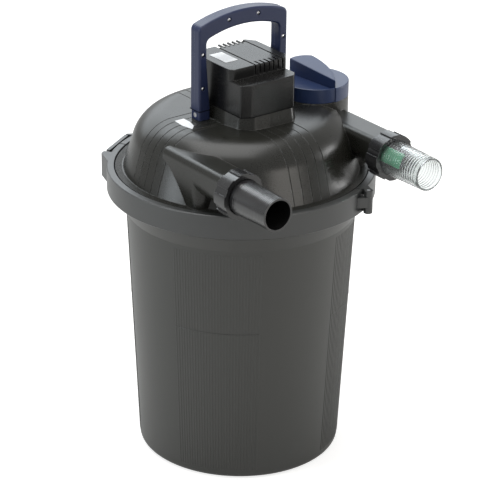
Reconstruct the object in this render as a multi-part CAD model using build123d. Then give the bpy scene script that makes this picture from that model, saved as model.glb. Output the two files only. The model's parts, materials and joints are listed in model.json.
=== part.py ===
from build123d import *
from math import cos, pi, radians, sin, sqrt, tan
import os

os.makedirs("parts", exist_ok=True)

# A pressurized pond filter, standing on its base. Millimetres, +Z up.
# The origin is the centre of the container's underside. The inlet and the dirty-water outlet
# point along -Y, and the clean-water outlet points along +Y.

# ---------------------------------------------------------------- driving dimensions
# Clearances
seat_gap = 0.3          # between curved faces of different pieces that seat on each other
pin_gap = 0.05          # radial, a pin in its hole
rod_gap = 0.08          # radial, a pull rod in its seal
loose_gap = 1.0         # radial, pieces that only pass through each other

# Container
container_wall = 4.0
container_floor = 5.0
flange_r = 185.5
flange_z = 396.5
flange_t = 12.0
flange_lip = 8.5        # from the flange's edge in to the collar
collar_flare = 14.2     # from the collar's top in to the neck
neck_z = 363.0
taper_in = 18.3         # from the neck in to the base
base_corner = 10.0
foot_ring_inset = 24.5  # from the base in to the ledge that carries the foam pack
foot_ring_wall = 5.0
foot_ring_h = 22.0
flange_top_z = flange_z + flange_t
collar_r = flange_r - flange_lip
neck_r = collar_r - collar_flare
base_r = neck_r - taper_in
foot_ring_r = base_r - foot_ring_inset

# Lid
lid_wall = 4.5
lid_rim_t = 14.7
rim_step = 6.3          # from the rim's edge in to the deck
deck_rise = 2.8
deck_w = 12.3           # from the deck's edge in to the foot of the dome
dome_lean = 17.1        # degrees the wall leans in
shoulder_r = 52.0
plateau_z = 507.7
lid_rim_top_z = flange_top_z + lid_rim_t
deck_z = lid_rim_top_z + deck_rise
deck_r = flange_r - rim_step
dome_base_r = deck_r - deck_w
shoulder_z = plateau_z - shoulder_r
shoulder_foot_z = shoulder_z + shoulder_r * sin(radians(dome_lean))
plateau_r = (dome_base_r - shoulder_r * cos(radians(dome_lean))
             - (shoulder_foot_z - deck_z) * tan(radians(dome_lean)))
under_step = 8.0        # from the seal's inner edge in to the hollow under the deck
line_count = 5          # fine lines cut in the dome, on each of three sides
line_pitch = 15.0
line_shift_x = -2.0     # middle line of the front and back sets
line_shift_y = 2.4      # middle line of the left set
line_w = 1.2
line_depth = 0.8
bead_w = 2.2            # raised bead beside the left foot
bead_h = 0.7
bead_y = -22.0
bead_l = 48.0

# Seal between lid and container
lid_seal_inset = 7.0    # from the flange's edge in to the seal's middle
lid_seal_w = 5.0
lid_seal_h = 3.0
lid_seal_r = flange_r - lid_seal_inset

# Clamp ring, in two halves on one hinge pin
ring_wall = 3.0
ring_clear = 1.5        # radial, round both flanges
ring_lip = 5.5          # reach of the lips over the flanges
ring_lip_t = 3.5
ring_seat = 0.4
ring_r = flange_r + ring_clear + ring_wall
ring_lip_r = flange_r - ring_lip
ring_edge = 1.3
ring_bottom_z = flange_z - ring_seat - ring_lip_t
ring_top_z = lid_rim_top_z + ring_seat + ring_lip_t
ring_split = 1.2        # half the gap between the halves, at either end
hinge_deg = -65.0
hinge_pin_r = 2.6
hinge_knuckle_r = 6.2
hinge_stand = 9.0       # from the ring's wall out to the hinge's axis
hinge_knuckle_t = 9.0
hinge_arm_l = 15.0
hinge_head_r = 3.8
hinge_head_t = 1.5
hinge_axis_r = ring_r + hinge_stand

# Over-centre latch, in its own frame: x along the ring, y the distance from the axis
latch_deg = 121.0
latch_pin_r = 1.5
latch_barrel_r = 3.0
latch_pivot_x = -7.0
latch_pivot_stand = 3.2
link_pivot_x = -19.0
link_pivot_stand = 2.4
latch_stand = 6.8       # from the ring's wall out to the lever's face
latch_pivot_y = ring_r + latch_pivot_stand
link_pivot_y = ring_r + link_pivot_stand
latch_face_y = ring_r + latch_stand
latch_plate_t = 2.4
lever_end_x = -32.0
lever_full_x = -26.0
link_plate_x = -2.5
link_end_x = 35.0
link_arm_t = 3.0
link_arm_half = 1.3     # half the thickness of the link's arms
link_eye_r = 2.3
link_root_l = 5.0       # of the arms behind the link's plate
link_cover_l = 9.0      # of the link's cover beyond its pin
link_cover_gap = 0.5    # between the cover and the catch post
hook_t = 3.0
hook_depth = 7.9        # from the latch's face in to the hook's tip
catch_gap = 1.3
catch_grip = 2.0        # height that the hook holds of the catch post
catch_post_w = 3.6
latch_gap = 0.4
latch_lug_half = 5.7    # half the height of the lug that carries the lever
latch_barrel_half = 9.5
latch_edge_low = 1.2    # from the ring's edges to the lever's
latch_edge_high = 0.4
lever_lip_w = 2.0
lever_lip_h = 3.0
guard_l = 32.0
guard_stand = 7.9
guard_gap = 2.5         # between the guard and the lever's end
fairing_l = 8.4
fairing_gap = 1.6       # between the link's end and the fairing

# Rotary valve
turret_r = 48.6
turret_margin = 5.6     # from the turret's wall out to the deck's edge
turret_y = -5.0
turret_wall = 4.0
turret_floor = 2.0
turret_top_z = 508.6
turret_x = deck_r - turret_margin - turret_r
knob_gap = 0.4
knob_h = 20.5
knob_edge = 1.2
knob_step = 1.4         # the pocket's side of the rim is this much smaller
knob_z = turret_top_z + knob_gap
grip_inset = 1.8        # from the knob's edge in to the ends of the pointer grip
grip_back_inset = 2.7
grip_heel_deg = 102.2
grip_back_deg = 57.0
grip_bulge = 21.5
grip_tip_h = 10.5
grip_heel_h = 19.5
pocket_rim = 2.2
pocket_depth = 3.5
spool_wall = 4.0
spool_floor = 4.0
spool_top = 5.0
spool_h = 62.0
stem_r = 9.0
stem_grip_l = 8.5       # height of the stem inside the knob
stem_seal_w = 2.5

# Water ports
port_offset = 1.0       # from the turret's middle out to the ports' axes
port_z = 467.0
port_bore_r = 20.0
duct_half_w = 23.5
duct_top = 26.0         # from the port axis to the duct's flat top
duct_round = 9.5
web_reach = 3.2         # the web's rounded end passes the deck's edge line by this much
web_round = 14.0
inlet_reach = 11.28     # from the foot of the dome out to the end of each duct
drain_reach = 21.28
outlet_reach = -8.72
spigot_r = 27.3
spigot_l = 15.0
nut_r = 33.2
nut_start = 0.6         # from the duct's end to the nut
nut_wall_gap = 0.3
nut_lip_t = 4.0
nut_lip_gap = 0.9       # radial, between the nut's lip and the tail
nut_lugs = 8
nut_lug_share = 0.62    # of the pitch that a lug fills
nut_lug_depth = 1.7
tail_flange_t = 2.4
tail_seal_t = 2.5
tail_root_r = 25.0
tail_tip_r = 23.4
tail_l = 98.0
tail_tip_l = 24.0       # plain stretch at the free end that takes the hose
tail_root_l = 4.0       # plain stretch next to the nut
tail_wall = 2.8
indicator_t = 2.0
indicator_end_s = 57.0
indicator_deg = 60.0
indicator_half_deg = 30.0
port_x = turret_x + port_offset
web_end = sqrt(deck_r ** 2 - (port_x + duct_half_w) ** 2) + web_reach
duct_foot_y = sqrt(dome_base_r ** 2 - (port_x - nut_r) ** 2)
inlet_end_y = -duct_foot_y - inlet_reach
drain_end_y = -duct_foot_y - drain_reach
outlet_end_y = duct_foot_y + outlet_reach

# Pump handle, with its rods and the foam pack that it squeezes
handle_front_y = -2.6
handle_split_y = 9.5
handle_back_y = 19.0
handle_gap = 0.6        # between the handle's leg and the knob beside it
handle_leg_w = 13.4
handle_flare_z = 590.0
handle_flare = 6.0      # the legs widen inwards towards their feet
handle_foot_z = 522.0
handle_corner_z = 643.8
handle_crown_z = 657.5
handle_arch_corner_z = 623.6
handle_arch_z = 635.4
handle_round = 3.0
handle_corner_r = 9.0
handle_leg_screw_z = (555.0, 604.0)
handle_bar_screw = (25.0, 646.5)
handle_screw_sink = 0.8
handle_screw_cover = 2.0
rod_in = 6.8            # from the handle's outer side in to the pull rod
rod_y = 8.0
rod_r = 5.0
rod_top_z = 530.0
foot_in = 0.6           # the feet are narrower than the legs by this at the outer side
foot_back_in = 1.0
foot_pin_r = 1.6
foot_pin_head_t = 1.0
handle_x = turret_x - turret_r - handle_gap
handle_inner_x = handle_x - handle_leg_w
rod_x = handle_x - rod_in
foot_outer_x = handle_x - foot_in
foot_inner_x = handle_inner_x - handle_flare
rod_seal_r = 9.0
rod_seal_t = 6.0
rod_nut_r = 8.0
rod_nut_t = 5.0
rod_nut_gap = 0.1
rod_end_l = 7.0         # of the pull rod under the lower plate
guide_wall = 3.0
plate_t = 6.0
plate_gap = 2.5         # between the pressing plates and the container's wall
plate_hole_r = 6.0
plate_holes = ((62.0, 10), (92.0, 16), (118.0, 20))     # circle and count
plate_hole_margin = 16.0        # from a pull rod's axis to the nearest hole's
foam_count = 4
foam_gap = 0.4
foam_side_gap = 6.0
centre_tube_r = 34.0
centre_tube_wall = 2.5
centre_collar = 6.0
centre_collar_t = 4.0
slot_rows = 7
slot_columns = 8
slot_low_z = 70.0
slot_pitch = 45.0
slot_l = 30.0
slot_w = 6.0
foam_top_z = 398.0
lid_stop_h = 9.0

# Ultraviolet lamp head: an outline seen from above whose corners are cut by (along X, along Y)
head_foot_gap = 4.4     # from its right side to the handle's foot
head_left_gap = 5.6
head_mid_in = 9.0       # the lower front part is this much narrower on the right
head_front_y = -72.0
head_step_y = -42.5
head_back_y = 51.0
head_right_x = foot_inner_x - head_foot_gap
head_left_x = head_left_gap - foot_inner_x
head_mid_x = head_right_x - head_mid_in
step_cut = 12.5
back_right_cut = (10.0, 13.0)
back_left_cut = (8.8, 9.0)
front_left_cut = (13.8, 8.0)
front_right_cut = (8.0, 9.0)
upper_left_cut = (5.3, 6.5)
skirt_left_cut = (19.8, 2.5)        # of the pedestal, which has one corner more at the left
skirt_side_cut = (5.3, 17.0)
skirt_flat_x = 42.8
skirt_right_cut = (11.0, 12.0)
skirt_out = 1.0
head_ledge_z = 574.0
head_top_z = 589.5
head_wall = 3.0
head_seam = 0.3
head_base_t = 5.0
head_edge = 1.2
head_corner_r = 4.0
head_tuck = 9.0         # depth that the upper block reaches into the lower one
pedestal_top_z = 527.0
pedestal_wall = 4.0
pedestal_draft = 9.0
pedestal_corner_r = 9.0
groove_in = (41.3, 5.5)             # from the head's sides in to its two long grooves
groove_w = 2.4
groove_depth = 2.2
notch_count = 5
notch_w = 2.8
notch_l = 13.0
vent_l = 9.0            # of the slope at the back edge, below its bars
vent_drop = 5.5
vent_bar_w = 2.2
vent_bar_h = 2.4
vent_bar_out = 3.0      # beyond the head's back
neck_bore_r = 30.0
neck_wall = 5.0
neck_l = 34.0
neck_skirt = 14.0       # of the lid's bore, below the dome
neck_low_z = plateau_z - lid_wall - neck_skirt
neck_seal_w = 3.0
neck_seal_h = 4.0
neck_seal_up = 6.0
sleeve_r = 22.0
sleeve_wall = 1.5
sleeve_rim = 1.7
sleeve_rim_h = 4.0
sleeve_clear = 2.0
sleeve_bottom_z = 96.0
lamp_r = 8.0
lamp_bottom_z = 118.0
lamp_gap = 9.0
lamp_bridge_r = 3.0
lamp_bridge_up = 12.0
socket_rim = 4.0
socket_rim_t = 5.0
socket_plug_in = 3.0
socket_plug_l = 5.0
socket_h = 15.0
ballast_in = (20.8, 13.0)           # from the head's sides
ballast_front = 18.0
ballast_d = 20.0
ballast_h = 36.0
ballast_r = 3.0
head_post_r = 4.0
head_screw_l = 20.0
head_screw_room = 4.0

# Fasteners
screw_r = 1.9
screw_head_r = 3.4
screw_head_h = 2.0

# Blank labels
label_t = 0.4
head_label_x = (12.8, 33.8)         # from the head's left side
head_label_y = (30.0, 25.0)         # from the step in front and from the back
lid_label_corners = ((4.4, -19.0), (13.4, -10.0), (17.4, 5.0), (17.4, 20.0), (2.4, 20.0), (0.4, 0.0))


# ---------------------------------------------------------------- helpers
def tube(r_out, r_in, z0, z1):
    """An upright tube on the Z axis."""
    body = Pos(0, 0, z0) * Cylinder(r_out, z1 - z0, align=(Align.CENTER, Align.CENTER, Align.MIN))
    if r_in <= 0:
        return body
    return body - Pos(0, 0, z0 - 1) * Cylinder(
        r_in, z1 - z0 + 2, align=(Align.CENTER, Align.CENTER, Align.MIN))


def rod(r, z0, z1):
    """An upright rod on the Z axis."""
    return tube(r, 0, z0, z1)


def block(x0, x1, y0, y1, z0, z1):
    """A box between two corners."""
    return Pos((x0 + x1) / 2, (y0 + y1) / 2, (z0 + z1) / 2) * Box(x1 - x0, y1 - y0, z1 - z0)


def prism(points, z0, z1):
    """A straight-sided shape over a polygon."""
    face = make_face(Polyline(*points, close=True))
    return Pos(0, 0, z0) * extrude(face, z1 - z0, dir=(0, 0, 1))


def turned(points):
    """A full turn of an outline given as (radius, height)."""
    face = make_face(Polyline(*[(r, 0, z) for r, z in points], close=True))
    return revolve(face, axis=Axis.Z)


def at_ring(deg, shape):
    """Puts a shape drawn with y as the distance from the axis at its angle round the ring."""
    return Rot(0, 0, deg - 90) * shape


def along_port(y, x, shape, way=-1):
    """Lays an upright shape along a port: its +Z end points along -Y, or along +Y for way 1."""
    return Pos(x, y, port_z) * Rot(90 if way < 0 else -90, 0, 0) * shape


def write(name, shape):
    """Writes one sub-part as a STEP file."""
    export_step(shape, f"parts/{name}.step")


# ---------------------------------------------------------------- container and seal
def container_radius(z):
    """Outer radius of the tapered wall at a height below the neck."""
    return base_r + (neck_r - base_r) * z / neck_z


def make_container():
    """Tapered bucket with a flared collar and a flange, and a ledge inside for the foam pack."""
    k = sqrt(0.5)
    corner_r = container_radius(base_corner)
    centre_r = corner_r - base_corner
    wall = container_wall
    outer = [
        Line((0, 0, 0), (centre_r, 0, 0)),
        ThreePointArc((centre_r, 0, 0),
                      (centre_r + base_corner * k, 0, base_corner * (1 - k)),
                      (corner_r, 0, base_corner)),
        Line((corner_r, 0, base_corner), (neck_r, 0, neck_z)),
        Line((neck_r, 0, neck_z), (collar_r, 0, flange_z)),
        Line((collar_r, 0, flange_z), (flange_r, 0, flange_z)),
        Line((flange_r, 0, flange_z), (flange_r, 0, flange_top_z)),
    ]
    inner = Polyline(
        (flange_r, 0, flange_top_z),
        (collar_r - wall, 0, flange_top_z),
        (collar_r - wall, 0, flange_z),
        (neck_r - wall, 0, neck_z),
        (container_radius(container_floor) - wall, 0, container_floor),
        (0, 0, container_floor),
        (0, 0, 0),
    )
    body = revolve(make_face([*outer, inner]), axis=Axis.Z)
    body += tube(foot_ring_r, foot_ring_r - foot_ring_wall,
                 container_floor, container_floor + foot_ring_h)
    groove = tube(lid_seal_r + lid_seal_w / 2 + pin_gap, lid_seal_r - lid_seal_w / 2 - pin_gap,
                  flange_top_z - lid_seal_h, flange_top_z + 1)
    return body - groove


def make_lid_seal():
    """Flat ring in the container's flange, under the lid."""
    return tube(lid_seal_r + lid_seal_w / 2, lid_seal_r - lid_seal_w / 2,
                flange_top_z - lid_seal_h, flange_top_z)


# ---------------------------------------------------------------- lid
def dome_face(inset, floor_z):
    """Half section of the dome, drawn in by a wall, and straight down from a floor height."""
    lean = radians(dome_lean)
    r = shoulder_r - inset
    touch = (plateau_r + r * cos(lean), 0, shoulder_z + r * sin(lean))
    middle = radians((dome_lean + 90) / 2)
    foot_r = touch[0] + (touch[2] - floor_z) * tan(lean)
    lines = [
        Line((0, 0, plateau_z - inset), (plateau_r, 0, plateau_z - inset)),
        ThreePointArc((plateau_r, 0, plateau_z - inset),
                      (plateau_r + r * cos(middle), 0, shoulder_z + r * sin(middle)), touch),
        Polyline(touch, (foot_r, 0, floor_z), (foot_r, 0, flange_top_z),
                 (0, 0, flange_top_z), (0, 0, plateau_z - inset)),
    ]
    return make_face(lines)


def duct_section():
    """Section of a duct about the port axis: a flat top with rounded edges over a round belly."""
    w, top, e = duct_half_w, duct_top, duct_round
    k = sqrt(0.5)
    return make_face([
        Line((-w, 0), (-w, top - e)),
        ThreePointArc((-w, top - e), (-w + e * (1 - k), top - e * (1 - k)), (-w + e, top)),
        Line((-w + e, top), (w - e, top)),
        ThreePointArc((w - e, top), (w - e * (1 - k), top - e * (1 - k)), (w, top - e)),
        Line((w, top - e), (w, 0)),
        ThreePointArc((w, 0), (0, -w), (-w, 0)),
    ])


def duct(x, y0, y1):
    """One duct from y0 to y1 with its web down to the lid's deck, as a solid."""
    side = 1 if y1 > y0 else -1
    section = Plane(origin=(x, min(y0, y1), port_z), x_dir=(-1, 0, 0), z_dir=(0, 1, 0)) * duct_section()
    body = extrude(section, abs(y1 - y0), dir=(0, 1, 0))
    web_y = sorted([y0, side * web_end])
    web = block(x - duct_half_w, x + duct_half_w, *web_y, deck_z - 1, port_z)
    ends = [e for e in web.edges().filter_by(Axis.Z) if abs(e.center().Y - side * web_end) < 0.1]
    return body + fillet(ends, web_round)


def spigot(x, y, way):
    """The round end that a union nut screws on."""
    return along_port(y, x, rod(spigot_r, -2, spigot_l), way)


def plan(points, inset, round_r):
    """Outline seen from above, drawn in by a wall, with its corners rounded."""
    face = make_face(Polyline(*points, close=True))
    if inset > 0:
        face = offset(face, -inset, kind=Kind.INTERSECTION)
    return fillet(face.vertices(), round_r)


def head_plan(front):
    """Corners of the lamp head's outline; front is its front stretch, from left to right."""
    return [
        *front,
        (head_right_x, head_step_y + step_cut),
        (head_right_x, head_back_y - back_right_cut[1]),
        (head_right_x - back_right_cut[0], head_back_y),
        (head_left_x + back_left_cut[0], head_back_y),
        (head_left_x, head_back_y - back_left_cut[1]),
    ]


lower_plan = head_plan([
    (head_left_x, head_front_y + front_left_cut[1]),
    (head_left_x + front_left_cut[0], head_front_y),
    (head_mid_x - front_right_cut[0], head_front_y),
    (head_mid_x, head_front_y + front_right_cut[1]),
    (head_mid_x, head_step_y),
])
upper_plan = head_plan([
    (head_left_x, head_step_y + upper_left_cut[1]),
    (head_left_x + upper_left_cut[0], head_step_y),
    (head_mid_x, head_step_y),
])
skirt_x = head_mid_x + skirt_out
pedestal_plan = head_plan([
    (head_left_x, head_step_y + step_cut),
    (head_left_x + skirt_side_cut[0], head_front_y + skirt_side_cut[1]),
    (head_left_x + skirt_left_cut[0], head_front_y + skirt_left_cut[1]),
    (head_left_x + skirt_flat_x, head_front_y),
    (skirt_x - skirt_right_cut[0], head_front_y),
    (skirt_x, head_front_y + skirt_right_cut[1]),
    (skirt_x, head_step_y),
])


def head_block(points, inset, z0, z1):
    """An upright block over one of the lamp head's outlines."""
    return Pos(0, 0, z0) * extrude(plan(points, inset, head_corner_r), z1 - z0, dir=(0, 0, 1))


def dome_lines():
    """Fine lines cut in the dome's skin: sets in front, behind and at the left."""
    skin = revolve(dome_face(0, deck_z) - dome_face(line_depth, deck_z), axis=Axis.Z)
    half, reach = line_w / 2, 2 * flange_r
    cuts = []
    for i in range(line_count):
        x = line_shift_x + (i - (line_count - 1) / 2) * line_pitch
        y = line_shift_y + (i - (line_count - 1) / 2) * line_pitch
        cuts.append(block(x - half, x + half, -reach, head_front_y, deck_z, plateau_z + 1))
        cuts.append(block(x - half, x + half, head_back_y, reach, deck_z, plateau_z + 1))
        cuts.append(block(-reach, head_left_x, y - half, y + half, deck_z, plateau_z + 1))
    return [skin & cut for cut in cuts]


def make_lid():
    """Domed lid with three ducts, the valve turret and the lamp head's pedestal in one moulding."""
    hollow_r = lid_seal_r - lid_seal_w - under_step
    skin_r = turret_r - turret_wall
    ceiling_z = plateau_z - lid_wall
    outer = revolve(dome_face(0, deck_z), axis=Axis.Z)
    for line in dome_lines():
        outer = outer - line
    outer += turned([(0, flange_top_z), (flange_r, flange_top_z), (flange_r, lid_rim_top_z),
                     (deck_r, lid_rim_top_z), (deck_r, deck_z), (0, deck_z)])
    outer += Pos(turret_x, turret_y, 0) * rod(turret_r, deck_z - 1, turret_top_z)
    outer += duct(-port_x, -port_bore_r, inlet_end_y)
    outer += duct(port_x, turret_y, drain_end_y)
    outer += duct(port_x, turret_y, outlet_end_y)
    for x, y, way in ports:
        outer += spigot(x, y, way)
    pedestal = extrude(plan(pedestal_plan, 0, pedestal_corner_r), pedestal_top_z - plateau_z + 2,
                       dir=(0, 0, -1), taper=-pedestal_draft)
    outer += Pos(0, 0, pedestal_top_z) * pedestal
    bead_x1 = -foot_inner_x + handle_flare / 2
    outer += block(bead_x1 - bead_l, bead_x1, bead_y - bead_w / 2, bead_y + bead_w / 2,
                   plateau_z - 1, plateau_z + bead_h)
    # the hollow under the dome, stepped out under the deck
    hollow = revolve(dome_face(lid_wall, deck_z - lid_wall), axis=Axis.Z)
    hollow += rod(hollow_r, flange_top_z - 1, deck_z - lid_wall)
    turret = Pos(turret_x, turret_y, 0)
    chamber = turret * rod(skin_r, deck_z + turret_floor, turret_top_z + 1)
    shield = turret * rod(turret_r, deck_z - lid_wall, turret_top_z)
    lid = outer - (hollow - shield) - chamber
    # water ways
    for x, y, way in ports:
        reach = abs(y - (turret_y if x > 0 else -2 * port_bore_r))
        lid = lid - along_port(y, x, rod(port_bore_r, -reach, spigot_l + 1), way)
    window = Pos(turret_x, turret_y, port_z) * Rot(0, -90, 0)
    lid = lid - window * rod(port_bore_r, 0, turret_r + port_bore_r)
    # the pedestal's well and the lamp head's bore
    well = extrude(plan(pedestal_plan, pedestal_wall, pedestal_corner_r - pedestal_wall),
                   pedestal_top_z - plateau_z, dir=(0, 0, 1))
    lid = lid - Pos(0, 0, plateau_z + 1) * well
    lid = lid - rod(neck_bore_r, neck_low_z, pedestal_top_z + 1)
    lid += tube(neck_bore_r + neck_wall, neck_bore_r, neck_low_z, pedestal_top_z)
    for x in (-rod_x, rod_x):
        guide = Pos(x, rod_y, 0)
        lid += guide * rod(rod_seal_r + guide_wall, ceiling_z - lid_stop_h, plateau_z - 1)
        lid = lid - guide * rod(rod_seal_r + pin_gap, plateau_z - rod_seal_t, plateau_z + 1)
        lid = lid - guide * rod(rod_r + rod_gap, ceiling_z - lid_stop_h - 1, plateau_z + 1)
    return lid


ports = [
    (-port_x, inlet_end_y, -1),
    (port_x, drain_end_y, -1),
    (port_x, outlet_end_y, 1),
]


# ---------------------------------------------------------------- clamp ring
def ring_half(start_deg, sweep_deg):
    """Half of the clamp ring: a channel over both flanges."""
    lip = ring_lip_t
    profile = make_face(Polyline(
        (ring_lip_r, 0, ring_bottom_z), (ring_r - ring_edge, 0, ring_bottom_z),
        (ring_r, 0, ring_bottom_z + ring_edge), (ring_r, 0, ring_top_z - ring_edge),
        (ring_r - ring_edge, 0, ring_top_z), (ring_lip_r, 0, ring_top_z),
        (ring_lip_r, 0, ring_top_z - lip), (ring_r - ring_wall, 0, ring_top_z - lip),
        (ring_r - ring_wall, 0, ring_bottom_z + lip), (ring_lip_r, 0, ring_bottom_z + lip),
        close=True))
    return Rot(0, 0, start_deg) * revolve(profile, axis=Axis.Z, revolution_arc=sweep_deg)


hinge_low_z = ring_bottom_z + 2.0
hinge_top_z = ring_top_z + 1.0
hinge_mid_z0 = hinge_low_z + hinge_knuckle_t + seat_gap
hinge_mid_z1 = hinge_top_z - hinge_knuckle_t - seat_gap
split_deg = ring_split / ring_r * 180 / pi
front_sweep = hinge_deg + 360 - latch_deg - 2 * split_deg
rear_sweep = latch_deg - hinge_deg - 2 * split_deg


def knuckle(side, z0, z1):
    """A hinge knuckle with its arm; side is +1 for the front half and -1 for the rear half."""
    arm = prism([
        (side * ring_split, ring_r - ring_wall / 2),
        (side * hinge_arm_l, ring_r - ring_wall / 2 - 0.7),
        (side * (hinge_arm_l - 2), ring_r + ring_wall),
        (side * 4, hinge_axis_r + 4),
        (side * ring_split, hinge_axis_r),
    ], z0, z1)
    barrel = Pos(0, hinge_axis_r, 0) * rod(hinge_knuckle_r, z0, z1)
    return arm + barrel


def hinge_hole():
    """The hole for the hinge pin."""
    return Pos(0, hinge_axis_r, 0) * rod(hinge_pin_r + pin_gap, ring_bottom_z - 1, ring_top_z + 2)


latch_mid_z = (ring_bottom_z + ring_top_z) / 2
lug_z0 = latch_mid_z - latch_lug_half
lug_z1 = latch_mid_z + latch_lug_half
barrel_z0 = latch_mid_z - latch_barrel_half
barrel_z1 = latch_mid_z + latch_barrel_half
arm_low_z = barrel_z0 - loose_gap - link_arm_t
arm_high_z = barrel_z1 + loose_gap
link_z1 = arm_high_z + link_arm_t
latch_z0 = ring_bottom_z + latch_edge_low
latch_z1 = ring_top_z - latch_edge_high
hook_tip_y = latch_face_y - hook_depth
catch_top_y = hook_tip_y + catch_grip
catch_post_x1 = link_end_x - hook_t - catch_gap
catch_post_x0 = catch_post_x1 - catch_post_w


def at_pivot(shape):
    """Puts an upright shape on the lever's pivot."""
    return Pos(latch_pivot_x, latch_pivot_y, 0) * shape


def at_link_pin(shape):
    """Puts an upright shape on the link's pin."""
    return Pos(link_pivot_x, link_pivot_y, 0) * shape


def latch_hole():
    """A hole for either latch pin, through the whole ring."""
    return rod(latch_pin_r + pin_gap, ring_bottom_z - 1, ring_top_z + 1)


def make_front_half():
    """Front half of the clamp ring with the hinge's middle knuckle, the latch lug and a guard."""
    half = ring_half(latch_deg + split_deg, front_sweep)
    half += at_ring(hinge_deg, knuckle(1, hinge_mid_z0, hinge_mid_z1))
    half = half - at_ring(hinge_deg, hinge_hole())
    lug = at_pivot(rod(latch_barrel_r, lug_z0, lug_z1))
    lug += block(latch_pivot_x - latch_barrel_r, latch_pivot_x + latch_barrel_r,
                 ring_r - ring_wall + 1, latch_pivot_y, lug_z0, lug_z1)
    lug = lug - at_pivot(latch_hole())
    guard_x1 = lever_end_x - guard_gap
    guard = prism([
        (guard_x1 - guard_l, sqrt(ring_r ** 2 - (guard_x1 - guard_l) ** 2) - 1),
        (guard_x1 - guard_l / 4, ring_r + guard_stand),
        (guard_x1 - ring_wall, ring_r + guard_stand),
        (guard_x1, ring_r + guard_stand - ring_wall / 2),
        (guard_x1, ring_r - 2 * ring_wall),
    ], ring_bottom_z, ring_top_z)
    return half + at_ring(latch_deg, lug) + at_ring(latch_deg, guard)


def make_rear_half():
    """Rear half of the clamp ring with two hinge knuckles, the catch post and an end fairing."""
    half = ring_half(hinge_deg + split_deg, rear_sweep)
    half += at_ring(hinge_deg, knuckle(-1, hinge_low_z, hinge_low_z + hinge_knuckle_t))
    half += at_ring(hinge_deg, knuckle(-1, hinge_top_z - hinge_knuckle_t, hinge_top_z))
    half = half - at_ring(hinge_deg, hinge_hole())
    post = block(catch_post_x0, catch_post_x1, ring_r - ring_wall - 1, catch_top_y,
                 arm_low_z + 2, arm_high_z + 1)
    fairing_x0 = link_end_x + fairing_gap
    fairing_x1 = fairing_x0 + fairing_l
    fairing = prism([
        (fairing_x0, ring_r - ring_wall - 2),
        (fairing_x0, latch_face_y - 1),
        (fairing_x0 + ring_wall, latch_face_y - 2),
        (fairing_x1, ring_r - ring_wall - 2),
        (fairing_x1, ring_r - ring_wall - 4.5),
    ], ring_bottom_z, ring_top_z)
    return half + at_ring(latch_deg, post) + at_ring(latch_deg, fairing)


def make_hinge_pin():
    """Pin through the clamp ring's knuckles, with a flat head below the lower one."""
    pin = rod(hinge_pin_r, hinge_low_z, hinge_top_z)
    pin += rod(hinge_head_r, hinge_low_z - hinge_head_t, hinge_low_z)
    return at_ring(hinge_deg, Pos(0, hinge_axis_r, 0) * pin)


def make_lever():
    """Latch lever: a cranked plate with two barrels on its pivot and a lug for the link's pin."""
    inner_y = latch_face_y - latch_plate_t
    wide, narrow = latch_barrel_r, latch_barrel_r - latch_gap
    plate = block(lever_end_x, lever_full_x, inner_y, latch_face_y, latch_z0, barrel_z1)
    plate += block(lever_full_x, latch_pivot_x, inner_y, latch_face_y, barrel_z0, barrel_z1)
    plate += block(lever_end_x, lever_end_x + lever_lip_w, inner_y - lever_lip_h, latch_face_y,
                   latch_z0, barrel_z1)
    lug_low_y = link_pivot_y - latch_pin_r
    lug = prism([
        (link_pivot_x - wide, inner_y + latch_gap),
        (link_pivot_x - narrow, lug_low_y),
        (link_pivot_x + narrow, lug_low_y),
        (link_pivot_x + wide, inner_y + latch_gap),
    ], barrel_z0, barrel_z1)
    barrels = at_pivot(rod(latch_barrel_r, barrel_z0, barrel_z1))
    gap = block(latch_pivot_x - 2 * latch_barrel_r, latch_pivot_x + 2 * latch_barrel_r,
                ring_r - 9, latch_face_y + 9, lug_z0 - latch_gap, lug_z1 + latch_gap)
    lever = plate + lug + barrels - gap
    return at_ring(latch_deg, lever - at_pivot(latch_hole()) - at_link_pin(latch_hole()))


def make_link():
    """Latch link: a plate with two arms on the lever's pin, a hook and a cover over the latch."""
    arm_y0 = link_pivot_y - link_arm_half
    arm_y1 = link_pivot_y + link_arm_half
    inner_y = latch_face_y - latch_plate_t
    root_x = link_plate_x + link_root_l
    link = block(link_plate_x, link_end_x, inner_y, latch_face_y, arm_low_z, link_z1)
    link += block(link_end_x - hook_t, link_end_x, hook_tip_y, latch_face_y, arm_low_z, link_z1)
    for z in (arm_low_z, arm_high_z):
        link += block(link_pivot_x, root_x, arm_y0, arm_y1, z, z + link_arm_t)
        link += block(link_plate_x, root_x, arm_y0, latch_face_y, z, z + link_arm_t)
        link += at_link_pin(rod(link_eye_r, z, z + link_arm_t))
    link += block(link_pivot_x - link_cover_l, link_end_x, catch_top_y + link_cover_gap, latch_face_y,
                  arm_high_z, latch_z1)
    pin_hole = at_link_pin(rod(latch_pin_r + pin_gap, ring_bottom_z - 1, link_z1))
    return at_ring(latch_deg, link - pin_hole)


def make_latch_pins():
    """The lever's pivot pin and the link's pin."""
    pivot = at_pivot(rod(latch_pin_r, barrel_z0, barrel_z1))
    link_pin = at_link_pin(rod(latch_pin_r, arm_low_z, link_z1))
    return at_ring(latch_deg, pivot), at_ring(latch_deg, link_pin)


# ---------------------------------------------------------------- unions and hose tails
seal_s = spigot_l
flange_s = seal_s + tail_seal_t
lip_s = flange_s + tail_flange_t + nut_wall_gap
nut_end = lip_s + nut_lip_t


def sector(half_deg, reach, z0, z1):
    """A slice about +X, this many degrees to either side."""
    x, y = reach * cos(radians(half_deg)), reach * sin(radians(half_deg))
    return prism([(0, 0), (x, -y), (x, y)], z0, z1)


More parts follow.
